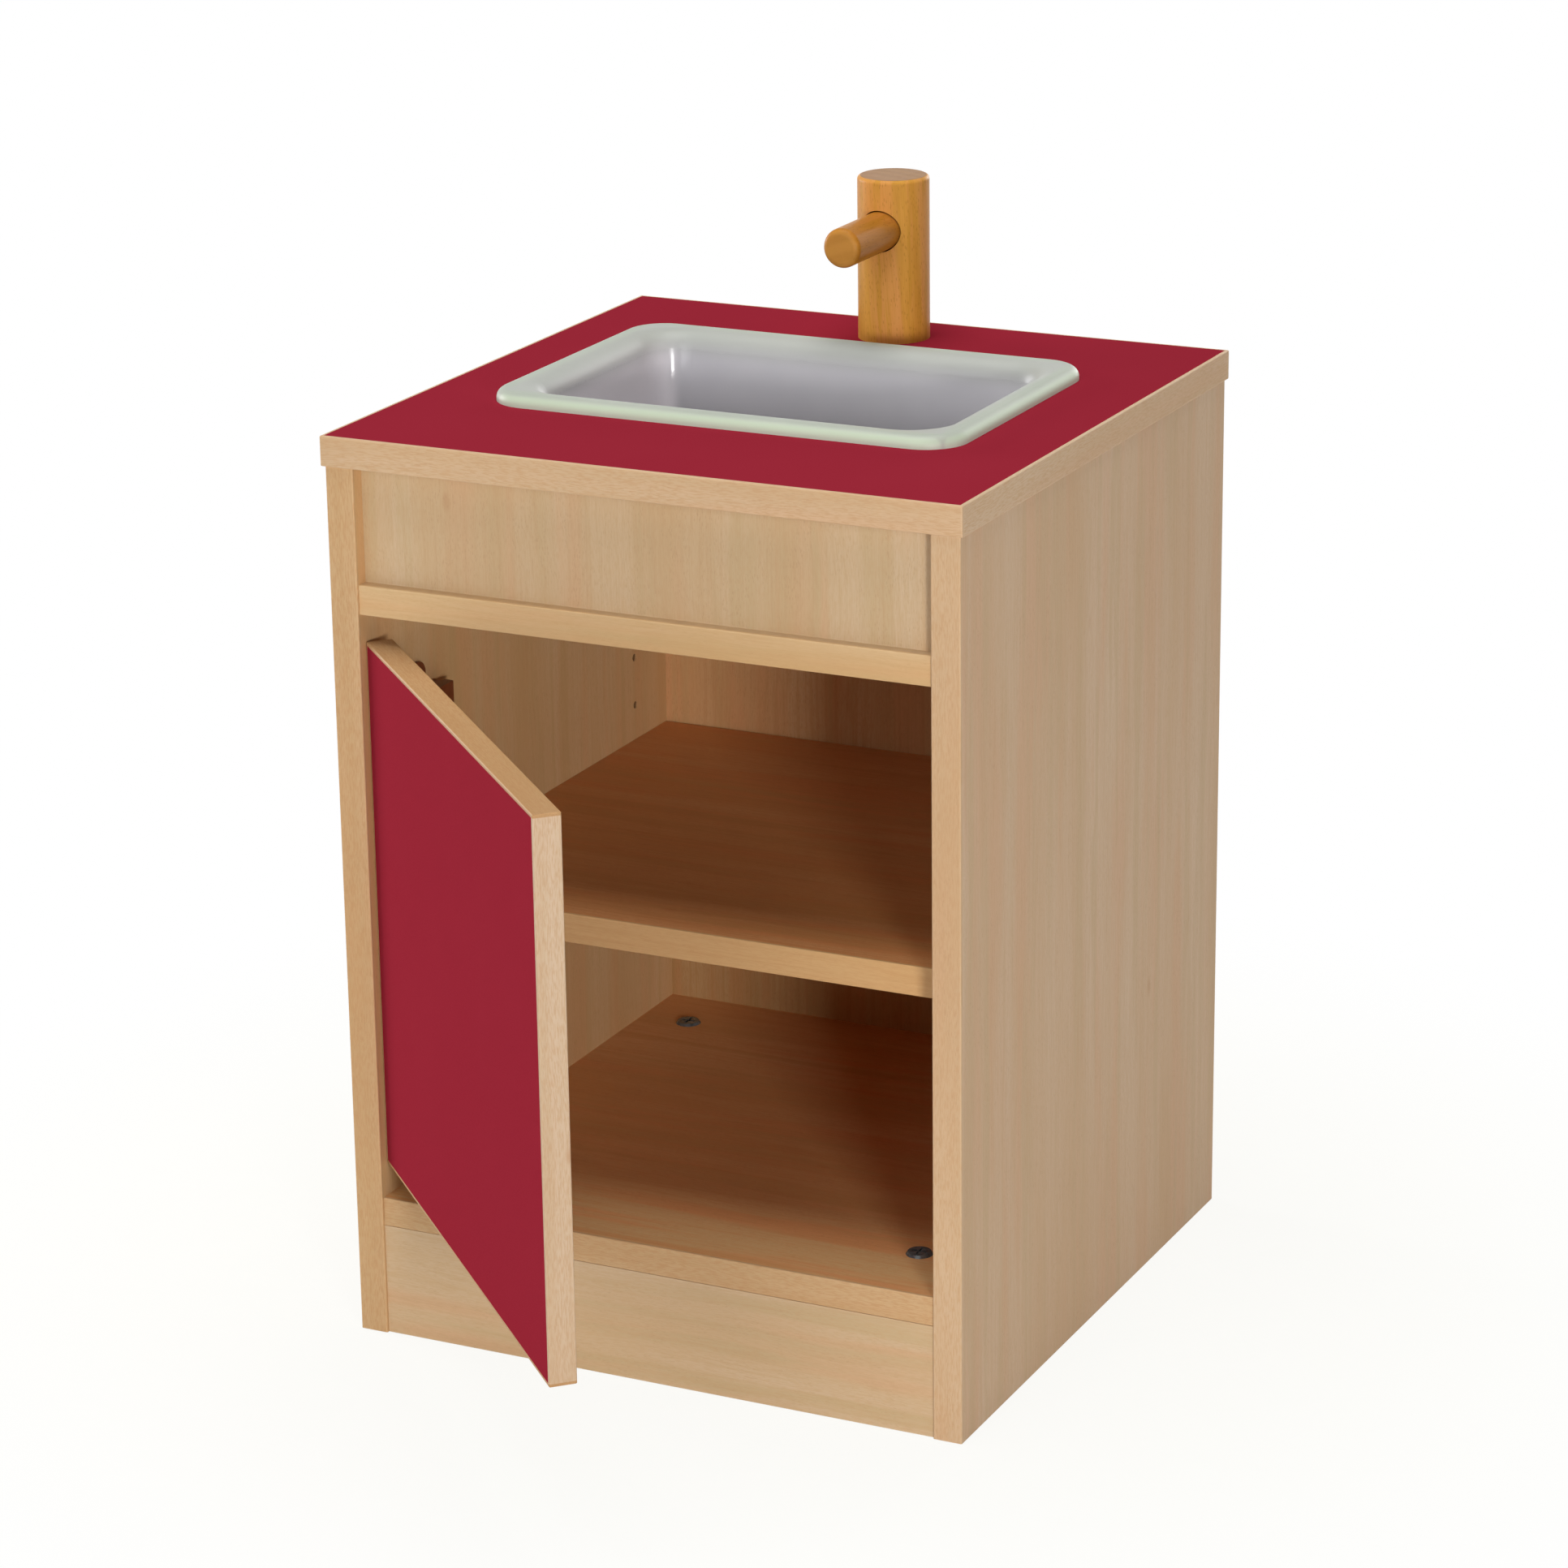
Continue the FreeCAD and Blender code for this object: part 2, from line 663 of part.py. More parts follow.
def locks():
    places = []
    for side, turn in zip(SIDES, (UPRIGHT, HALF_TURN)):
        for y in COLUMN_Y:
            x = f"{side} * ({INNER_X} - cam_reach)"
            places.append(((x, y, f"{BOTTOM_Z} + board - {LOCK_DEPTH}"), turn))
            places.append(((x, y, f"{UPPER_Z} + {LOCK_DEPTH}"), turn * UPSIDE_DOWN))
    node("cam_locks", copies(cam_lock(), places))
    places = []
    for side, turn in zip(SIDES, (UPRIGHT, HALF_TURN)):
        for y in COLUMN_Y:
            x = f"{side} * ({INNER_X} - shelf_end_gap - housing_reach)"
            top_z = f"{SHELF_MID_Z} - board / 2 + {LOCK_DEPTH}"
            places.append(((x, y, top_z), turn * UPSIDE_DOWN))
    node("shelf_locks", copies(shelf_lock(), places))


def lock_bolt(grip, reach):
    """A bolt along +X: thread in the side panel, shank, and a head in the lock."""
    thread = rod((f"-({grip})", "0", "0"), "X", "pin_hole_dia - 2 * fit", grip)
    shank = rod(("0", "0", "0"), "X", "bolt_shank_dia", f"{reach} - bolt_head_length / 2")
    start = f"{reach} - bolt_head_length / 2"
    head = rod((start, "0", "0"), "X", "bolt_head_dia", "bolt_head_length")
    return fuse([thread, shank, head])


def bolts():
    bolt = lock_bolt("bolt_in_side", "cam_reach")
    places = []
    for side, turn in zip(SIDES, (UPRIGHT, HALF_TURN)):
        for y in COLUMN_Y:
            places += [((f"{side} * {INNER_X}", y, z), turn) for z in panel_mids()]
    node("cam_bolts", copies(bolt, places))
    bolt = lock_bolt("pin_hole_depth", "(shelf_end_gap + housing_reach)")
    places = []
    for side, turn in zip(SIDES, (UPRIGHT, HALF_TURN)):
        for y in COLUMN_Y:
            places.append(((f"{side} * {INNER_X}", y, SHELF_MID_Z), turn))
    node("shelf_bolts", copies(bolt, places))


def block_places():
    """Middle of the worktop blocks along the side panels, beside the drilled columns."""
    return f"{COLUMN_Y[0]} + pitch", f"{COLUMN_Y[1]} - pitch"


def worktop_blocks():
    """Corner blocks that screw the worktop down to the side panels."""
    low_z = f"{WORKTOP_Z} - block_side"
    size = ("block_side", "block_length", "block_side")
    hole_dia = "block_screw_dia + 2 * fit"
    blocks = []
    for side in SIDES:
        for y in block_places():
            x = f"-{INNER_X}" if side < 0 else f"{INNER_X} - block_side"
            blank = box((x, f"{y} - block_length / 2", low_z), size)
            level = rod((x, y, f"{low_z} + block_side / 2"), "X", hole_dia, "block_side")
            holes = [level]
            for sign in SIDES:
                place = block_screw_top(side, y, sign)
                holes.append(rod((*place, low_z), "Z", hole_dia, "block_side"))
            blocks.append(cut(blank, holes))
    group = doc.addObject("Part::Compound", "group")
    group.Links = blocks
    node("worktop_blocks", group)


def block_screw_top(side, y, sign):
    return f"{side} * ({INNER_X} - block_screw_inset)", f"{y} + {sign} * block_screw_spread"


def block_screws():
    """Pan-head screws: one level into the side panel and two up into the worktop."""
    length = "block_side + block_screw_grip"
    shank = rod(("0", "0", "0"), "Z", "block_screw_dia", length)
    head = rod(("0", "0", "-hinge_screw_head"), "Z", "hinge_screw_head_dia", "hinge_screw_head")
    cross_top = "drive_depth - hinge_screw_head"
    screw = cut(fuse([shank, head]), drive_cross("hinge_screw_head_dia", cross_top))
    places = []
    for side in SIDES:
        outward = FreeCAD.Rotation(FreeCAD.Vector(0, 1, 0), 90 * side)
        for y in block_places():
            level = (f"{side} * ({INNER_X} - block_side)", y, f"{WORKTOP_Z} - block_side / 2")
            places.append((level, outward))
            for sign in SIDES:
                place = block_screw_top(side, y, sign)
                places.append(((*place, f"{WORKTOP_Z} - block_side"), UPRIGHT))
    node("block_screws", copies(screw, places))


# Worktop
def bowl_outline(margin):
    """Width, depth and corner radius of the bowl's opening, grown by a margin."""
    width = f"{SINK_WIDTH} - 2 * rim_width + 2 * ({margin})"
    depth = f"{SINK_DEPTH} - 2 * rim_width + 2 * ({margin})"
    return width, depth, f"bowl_corner + ({margin})"


def cutout_prism():
    """The hole that the bowl drops through, round the sink's middle."""
    body = new_body()
    sketch = new_sketch(body, "XY_Plane")
    rounded_rectangle(sketch, *bowl_outline("bowl_wall + cutout_gap"))
    pad(body, sketch, "board")
    bind_point(body, "Placement.Base", ("fixture_shift", SINK_Y, WORKTOP_Z))
    return body


def worktop_layer(label, low_z, thick, extra_tools):
    half_x = "(carcass_width / 2 + overhang - band)"
    half_y = "(carcass_depth / 2 + overhang - band)"
    blank = plate((f"-{half_x}", f"-{half_y}", low_z), (f"2 * {half_x}", f"2 * {half_y}", thick))
    screw_hole = ("Z", "tap_screw_dia + 2 * fit", "board")
    tools = [cutout_prism(), rod(("fixture_shift", POST_Y, WORKTOP_Z), *screw_hole)]
    node(label, cut(blank, tools + extra_tools))


def worktop():
    pilots = []
    for side in SIDES:
        for y in block_places():
            for sign in SIDES:
                place = block_screw_top(side, y, sign)
                hole = ("Z", "block_screw_dia + 2 * fit", "block_screw_grip")
                pilots.append(rod((*place, WORKTOP_Z), *hole))
    worktop_layer("worktop_board", WORKTOP_Z, "board - skin", pilots)
    worktop_layer("worktop_laminate", "total_height - skin", "skin", [])


def worktop_bands():
    outer_x = "(carcass_width / 2 + overhang)"
    outer_y = "(carcass_depth / 2 + overhang)"
    long_size = (f"2 * {outer_x}", "band", "board")
    for name, y, inner_high in (("front", f"-{outer_y}", True), ("rear", f"{outer_y} - band", False)):
        strip = plate((f"-{outer_x}", y, WORKTOP_Z), long_size)
        node(f"worktop_{name}_band", round_band(strip, "Y", inner_high))
    short_size = ("band", f"2 * ({outer_y} - band)", "board")
    for name, x in (("left", f"-{outer_x}"), ("right", f"{outer_x} - band")):
        strip = plate((x, f"-({outer_y} - band)", WORKTOP_Z), short_size)
        bounds = strip.Tip.Shape.BoundBox
        outer = bounds.XMin if name == "left" else bounds.XMax
        dress(strip, "Fillet", strip.Tip, runs_along("Y", "X", outer), "band_round")
        node(f"worktop_{name}_band", strip)


# Sink
def sink_bowl():
    body = new_body()
    bind_point(body, "Placement.Base", ("fixture_shift", SINK_Y, "total_height"))
    outline = new_sketch(body, "XY_Plane")
    rounded_rectangle(outline, SINK_WIDTH, SINK_DEPTH, "rim_corner")
    rim = pad(body, outline, "rim_height")
    top = rim.Shape.BoundBox.ZMax
    dress(body, "Fillet", rim, at_level(top), "rim_round_out")

    outline = new_sketch(body, "XY_Plane")
    rounded_rectangle(outline, *bowl_outline("bowl_wall"))
    drop = "board + fascia_height - bowl_floor_gap"
    bowl = pad(body, outline, drop, down=True, taper="-bowl_draft")
    low = bowl.Shape.BoundBox.ZMin
    dress(body, "Fillet", bowl, at_level(low), "bowl_floor_round + bowl_wall")

    outline = new_sketch(body, "XY_Plane", ("0", "0", "rim_height"))
    rounded_rectangle(outline, *bowl_outline("0"))
    inside = f"rim_height + {drop} - bowl_wall"
    hollow = pocket(body, outline, inside, taper="-bowl_draft")
    floor = low + sheet.get("bowl_wall")
    hollow = dress(body, "Fillet", hollow, at_level(floor), "bowl_floor_round")
    dress(body, "Fillet", hollow, at_level(top, outline.Shape.BoundBox), "rim_round_in")
    node("sink_bowl", body)


# Tap
def turned_rod(dia, length, rounding):
    """A round bar along Z whose top edge is rounded."""
    body = new_body()
    sketch = new_sketch(body, "XY_Plane")
    circle(sketch, dia)
    bar = pad(body, sketch, length)
    top = bar.Shape.BoundBox.ZMax
    dress(body, "Fillet", bar, at_level(top), rounding)
    return body


def tap():
    post = turned_rod("post_dia", "post_height", "post_round")
    foot = ("fixture_shift", POST_Y, "total_height")
    bind_point(post, "Placement.Base", foot)
    socket_start = ("fixture_shift", f"{POST_Y} - post_dia / 2", SPOUT_Z)
    socket_dia = "spout_dia + 2 * spout_gap"
    socket = rod(socket_start, "Y", socket_dia, "post_dia / 2 + spout_socket")
    pilot = rod(foot, "Z", "tap_screw_dia + 2 * fit", "tap_screw_in_post")
    node("tap_post", cut(post, [socket, pilot]))

    spout = turned_rod("spout_dia", "spout_reach + spout_socket", "spout_round")
    spout.Placement.Rotation = FreeCAD.Rotation(FreeCAD.Vector(1, 0, 0), 90)
    bind_point(spout, "Placement.Base", ("fixture_shift", f"{POST_Y} + spout_socket", SPOUT_Z))
    node("tap_spout", spout)

    washer_low = ("fixture_shift", POST_Y, f"{WORKTOP_Z} - washer_thick")
    ring = rod(washer_low, "Z", "washer_dia", "washer_thick")
    bore = rod(washer_low, "Z", "tap_screw_dia + 2 * fit", "washer_thick")
    node("tap_washer", cut(ring, [bore]))

    head_z = "-tap_screw_head"
    grip = "washer_thick + board + tap_screw_in_post"
    shank = rod(("0", "0", "0"), "Z", "tap_screw_dia", grip)
    head = rod(("0", "0", head_z), "Z", "tap_screw_head_dia", "tap_screw_head")
    cross = drive_cross("tap_screw_head_dia", f"drive_depth + ({head_z})")
    screw = cut(fuse([shank, head]), cross)
    bind_point(screw, "Placement.Base", washer_low)
    node("tap_screw", screw)


# Hinges. A piece on the wall is drawn round the hinge plate's middle, +X away from the wall;
# a piece on the door is drawn round the hinge axis, with the door closed.
def wall_places():
    return [((f"-{INNER_X}", COLUMN_Y[0], z), UPRIGHT) for z in HINGE_Z]


def hinge_plates():
    body = new_body()
    sketch = new_sketch(body, "YZ_Plane", ("-wing_width / 2", "-wing_height / 2", "0"))
    rectangle(sketch, "wing_width", "wing_height")
    wing = pad(body, sketch, "wing_thick")
    dress(body, "Fillet", wing, lambda edge: edge.BoundBox.XLength > TOUCH, "wing_round")
    sketch = new_sketch(body, "YZ_Plane", ("-mount_front", "-mount_height / 2", "0"))
    rectangle(sketch, "mount_front + mount_rear", "mount_height")
    pad(body, sketch, ARM_BACK_OUT)
    holes = []
    for sign in SIDES:
        start = ("0", "0", f"{sign} * wing_screw_spacing / 2")
        holes.append(rod(start, "X", "hinge_screw_dia + 2 * fit", "wing_thick"))
    start = (f"{ARM_BACK_OUT} - arm_screw_grip", "arm_screw_rear", "0")
    holes.append(rod(start, "X", "arm_screw_dia + 2 * fit", "arm_screw_grip"))
    node("hinge_plates", copies(cut(body, holes), wall_places()))


def hinge_arms():
    knuckle_low = "-arm_tall / 2"
    knuckle = rod((PIVOT_OUT, f"-{PIVOT_FORWARD}", knuckle_low), "Z", "knuckle_dia", "arm_tall")
    bar_corner = (ARM_BACK_OUT, f"-{PIVOT_FORWARD}", knuckle_low)
    bar = box(bar_corner, ("arm_thick", f"{PIVOT_FORWARD} - arm_front", "arm_tall"))
    cover_corner = (ARM_BACK_OUT, "-arm_front", "-mount_height / 2")
    cover = box(cover_corner, ("arm_cover", "arm_front + arm_rear", "mount_height"))
    bore_dia = "hinge_pin_dia + 2 * hinge_pin_gap"
    bore = rod((PIVOT_OUT, f"-{PIVOT_FORWARD}", knuckle_low), "Z", bore_dia, "arm_tall")
    screw_start = (ARM_BACK_OUT, "arm_screw_rear", "0")
    screw_hole = rod(screw_start, "X", "arm_screw_dia + 2 * fit", "arm_cover")
    arm = cut(fuse([knuckle, bar, cover]), [bore, screw_hole])
    node("hinge_arms", copies(arm, wall_places()))


def pan_screw(dia, length, head_dia, head):
    """A screw along -X whose head sits on the plane x = 0."""
    shank = rod((f"-({length})", "0", "0"), "X", dia, length)
    cap = rod(("0", "0", "0"), "X", head_dia, head)
    low = f"{head} - drive_depth"
    reach = f"{head_dia} * {DRIVE_SHARE}"
    long_side = f"2 * {reach}"
    first = box((low, f"-{reach}", "-drive_width / 2"), ("drive_depth", long_side, "drive_width"))
    second = box((low, "-drive_width / 2", f"-{reach}"), ("drive_depth", "drive_width", long_side))
    return cut(fuse([shank, cap]), [first, second])


def hinge_screws():
    head = ("hinge_screw_head_dia", "hinge_screw_head")
    screw = pan_screw("hinge_screw_dia", "wing_thick + hinge_screw_grip", *head)
    places = []
    for z in HINGE_Z:
        for sign in SIDES:
            screw_z = f"{z} + {sign} * wing_screw_spacing / 2"
            places.append(((f"-{INNER_X} + wing_thick", COLUMN_Y[0], screw_z), UPRIGHT))
    node("hinge_plate_screws", copies(screw, places))

    screw = pan_screw("arm_screw_dia", "arm_cover + arm_screw_grip", *head)
    x = f"-{INNER_X} + {ARM_BACK_OUT} + arm_cover"
    y = f"{COLUMN_Y[0]} + arm_screw_rear"
    node("hinge_arm_screws", copies(screw, [((x, y, z), UPRIGHT) for z in HINGE_Z]))

    screw = pan_screw("hinge_screw_dia", f"flange_thick + {DOOR_BACK}", *head)
    places = []
    for z in HINGE_Z:
        for sign in SIDES:
            screw_z = f"{z} + {sign} * flange_screw_spacing / 2"
            point = (CUP_SCREW_X, f"{DOOR_BACK} + flange_thick", screw_z)
            places.append((point, FreeCAD.Rotation(FreeCAD.Vector(0, 0, 1), 90)))
    group = copies(screw, places)
    hang(group)
    node("hinge_cup_screws", group)


def hinge_cups():
    low_z = "-cup_height / 2"
    block = box((CUP_X, "0", low_z), ("cup_width", DOOR_BACK, "cup_height"))
    flange_corner = (CUP_X, DOOR_BACK, "-flange_height / 2")
    flange = box(flange_corner, ("flange_width", "flange_thick", "flange_height"))
    solids = [block, flange]
    for sign in SIDES:
        near = "arm_tall / 2 + knuckle_gap"
        lug_z = near if sign > 0 else f"-({near}) - lug_tall"
        solids.append(rod(("0", "0", lug_z), "Z", "knuckle_dia", "lug_tall"))
        solids.append(box(("0", "-knuckle_dia / 2", lug_z), (CUP_X, "knuckle_dia", "lug_tall")))
    pin_length = "arm_tall + 2 * (knuckle_gap + lug_tall)"
    bore = rod(("0", "0", f"-({pin_length}) / 2"), "Z", "hinge_pin_dia + fit", pin_length)
    recess_corner = (f"{CUP_X} + cup_wall", "cup_wall", f"{low_z} + cup_wall")
    recess_size = ("cup_width - 2 * cup_wall", DOOR_BACK, "cup_height - 2 * cup_wall")
    tools = [bore, box(recess_corner, recess_size)]
    for sign in SIDES:
        start = (CUP_SCREW_X, DOOR_BACK, f"{sign} * flange_screw_spacing / 2")
        tools.append(rod(start, "Y", "hinge_screw_dia + 2 * fit", "flange_thick"))
    cup = cut(fuse(solids), tools)
    group = copies(cup, [(("0", "0", z), UPRIGHT) for z in HINGE_Z])
    hang(group)
    node("hinge_cups", group)

    pin = rod(("0", "0", "0"), "Z", "hinge_pin_dia", pin_length)
    group = copies(pin, [(("0", "0", f"{z} - ({pin_length}) / 2"), UPRIGHT) for z in HINGE_Z])
    hang(group)
    node("hinge_pins", group)


# Door, drawn closed round the hinge axis and then hung open
def door_corner(x, y, z):
    return f"({x}) - pivot_inset", f"({y}) - pivot_depth", z


def lug_recesses():
    """Room at the hinge edge for the cups' lugs and the swing of the arms."""
    tools = []
    half = "(arm_tall / 2 + knuckle_gap + lug_tall)"
    for z in HINGE_Z:
        corner = door_corner("-band", LUG_RELIEF, f"{z} - {half}")
        tools.append(box(corner, ("band + cup_from_edge", "door_thick", f"2 * {half}")))
    return tools


def cup_recesses():
    """Pockets for the cups and pilot holes for their screws."""
    tools = []
    for z in HINGE_Z:
        corner = (CUP_X, "0", f"{z} - cup_height / 2")
        tools.append(box(corner, ("cup_width", DOOR_BACK, "cup_height")))
        for sign in SIDES:
            start = (CUP_SCREW_X, "0", f"{z} + {sign} * flange_screw_spacing / 2")
            tools.append(rod(start, "Y", "hinge_screw_dia + 2 * fit", DOOR_BACK))
    return tools


def door_layer(label, depth_in, thick, recessed):
    """One layer of the door inside its edge bands."""
    corner = door_corner("band", depth_in, f"{DOOR_LOW_Z} + band")
    size = (f"{DOOR_WIDTH} - 2 * band", thick, f"{DOOR_HIGH_Z} - {DOOR_LOW_Z} - 2 * band")
    layer = plate(corner, size, on_door=True)
    if recessed:
        layer = cut(layer, lug_recesses() + cup_recesses())
    hang(layer)
    node(label, layer)


def door_bands():
    height = f"{DOOR_HIGH_Z} - {DOOR_LOW_Z} - 2 * band"
    low = door_corner("0", "0", DOOR_LOW_Z)
    high = door_corner("0", "0", f"{DOOR_HIGH_Z} - band")
    for name, corner, inner_high in (("bottom", low, True), ("top", high, False)):
        strip = plate(corner, (DOOR_WIDTH, "door_thick", "band"), on_door=True)
        round_band(strip, "Z", inner_high)
        hang(strip)
        node(f"door_{name}_band", strip)
    for name, x in (("free", f"{DOOR_WIDTH} - band"), ("hinge", "0")):
        corner = door_corner(x, "0", f"{DOOR_LOW_Z} + band")
        strip = plate(corner, ("band", "door_thick", height), on_door=True)
        bounds = strip.Tip.Shape.BoundBox
        outer = bounds.XMax if name == "free" else bounds.XMin
        dress(strip, "Fillet", strip.Tip, runs_along("Z", "X", outer), "band_round")
        if name == "hinge":
            strip = cut(strip, lug_recesses())
        hang(strip)
        node(f"door_{name}_band", strip)


def check_and_write():
    doc.recompute()
    for thing in doc.Objects:
        if "Invalid" in thing.State or "Error" in thing.State:
            raise RuntimeError(f"{thing.Label} failed: {thing.State}")
    for thing in nodes:
        if thing.Shape.isNull() or not thing.Shape.isValid():
            raise RuntimeError(f"{thing.Label} has no valid shape")
    os.makedirs("parts", exist_ok=True)
    for thing in nodes:
        thing.Shape.exportStep(f"parts/{thing.Label}.step")


fill_sheet()
for panel_side, panel_name in zip(SIDES, ("left", "right")):
    side_panel(f"{panel_name}_side_panel", panel_side)
    side_band(f"{panel_name}_side_front_band", panel_side)
bolted_board("bottom_panel", BOTTOM_Z, cams_below=False, face_y=PLINTH_MID_Y)
board_band("bottom_panel_front_band", BOTTOM_Z)
bolted_board("upper_panel", UPPER_Z, cams_below=True, face_y=FASCIA_MID_Y)
board_band("upper_panel_front_band", UPPER_Z)
fascia_ends, plinth_ends = rail_dowel_places()
rail_board(
    "fascia_panel",
    f"{FRONT_Y} + fascia_recess",
    f"{WORKTOP_Z} - fascia_height",
    "fascia_height",
    *fascia_ends,
    f"{WORKTOP_Z} - fascia_height",
)
rail_board(
    "plinth_board",
    PANEL_FRONT_Y,
    "0",
    "plinth_height",
    *plinth_ends,
    "plinth_height + dowel_in_face - dowel_length",
)
back_panel()
shelf()
dowels()
locks()
bolts()
worktop_blocks()
block_screws()
worktop()
worktop_bands()
sink_bowl()
tap()
hinge_plates()
hinge_arms()
hinge_screws()
hinge_cups()
door_layer("door_core", "skin", "door_thick - 2 * skin", recessed=True)
door_layer("door_front_laminate", "0", "skin", recessed=False)
door_layer("door_back_laminate", "door_thick - skin", "skin", recessed=True)
door_bands()
check_and_write()
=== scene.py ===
import json
import math
from collections import namedtuple

import bpy
from mathutils import Matrix, Vector

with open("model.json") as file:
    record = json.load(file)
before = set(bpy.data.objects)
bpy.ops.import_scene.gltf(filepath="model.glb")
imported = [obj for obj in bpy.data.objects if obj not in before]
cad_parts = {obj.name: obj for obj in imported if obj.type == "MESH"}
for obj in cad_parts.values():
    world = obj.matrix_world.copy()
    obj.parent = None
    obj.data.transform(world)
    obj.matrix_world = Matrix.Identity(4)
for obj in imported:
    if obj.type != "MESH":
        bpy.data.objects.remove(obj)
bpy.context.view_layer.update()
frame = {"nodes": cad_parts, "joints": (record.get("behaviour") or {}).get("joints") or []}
nodes = frame["nodes"]

# Camera, as solved from the photograph's corners: pixels, metres and degrees
PHOTO_SIDE = 1932
SENSOR_MM = 36
FOCAL_PIXELS = 6138.5
VIEW_CENTRE = (973.8, 1010.1)
CAMERA_AT = (1.2569, -2.5934, 1.2534)
CAMERA_AZIMUTH = 25.892
CAMERA_ELEVATION = 18.441
CAMERA_ROLL = -0.735

# Lamps: azimuth and elevation in degrees seen from the object, distance and side in metres, watts
LIGHT_TARGET = (0.0, -0.05, 0.3)
LAMPS = {
    "key": (38, 8, 3.2, 0.5, 48.0),
    "front": (-6, 20, 3.4, 1.6, 28.0),
    "overhead": (0, 86, 2.8, 2.0, 62.0),
    "left_side": (-96, 10, 3.2, 1.4, 58.0),
    "rear": (174, 14, 3.2, 1.4, 30.0),
}

# Turns that bring a piece's grain onto the texture's X axis, and a slanting one for scratches
DOOR_OPEN = -math.radians(frame["joints"][0]["range_deg"][0])
ALONG_X = Matrix.Identity(3)
ALONG_Y = Matrix.Rotation(math.radians(-90), 3, "Z")
ALONG_Z = Matrix.Rotation(math.radians(90), 3, "Y")
ALONG_DOOR = Matrix.Rotation(DOOR_OPEN, 3, "Z")
UP_DOOR = ALONG_Z @ ALONG_DOOR
SLANTING = Matrix.Rotation(math.radians(35), 3, Vector((1, 1, 1)))

# A normal's part along an axis, from the value where a face begins to count to where it counts in full
TO_FRONT = (-0.35, -0.95)
TO_RIGHT = (0.35, 0.95)

# A mark in wood: its length along the grain and width across it in metres, its tint of the wood's
# tone, the texture's values at which it begins and is full, and the detail of its noise
Mark = namedtuple("Mark", "length width tint levels detail", defaults=(2.0,))


def srgb(red, green, blue):
    """A colour given as 8-bit display values, as the shader's linear numbers."""

    def linear(value):
        share = value / 255
        return share / 12.92 if share <= 0.04045 else ((share + 0.055) / 1.055) ** 2.4

    return (linear(red), linear(green), linear(blue), 1.0)


def tinted(colour, tint):
    """A linear colour with its channels scaled."""
    return tuple(part * scale for part, scale in zip(colour, tint)) + (1.0,)


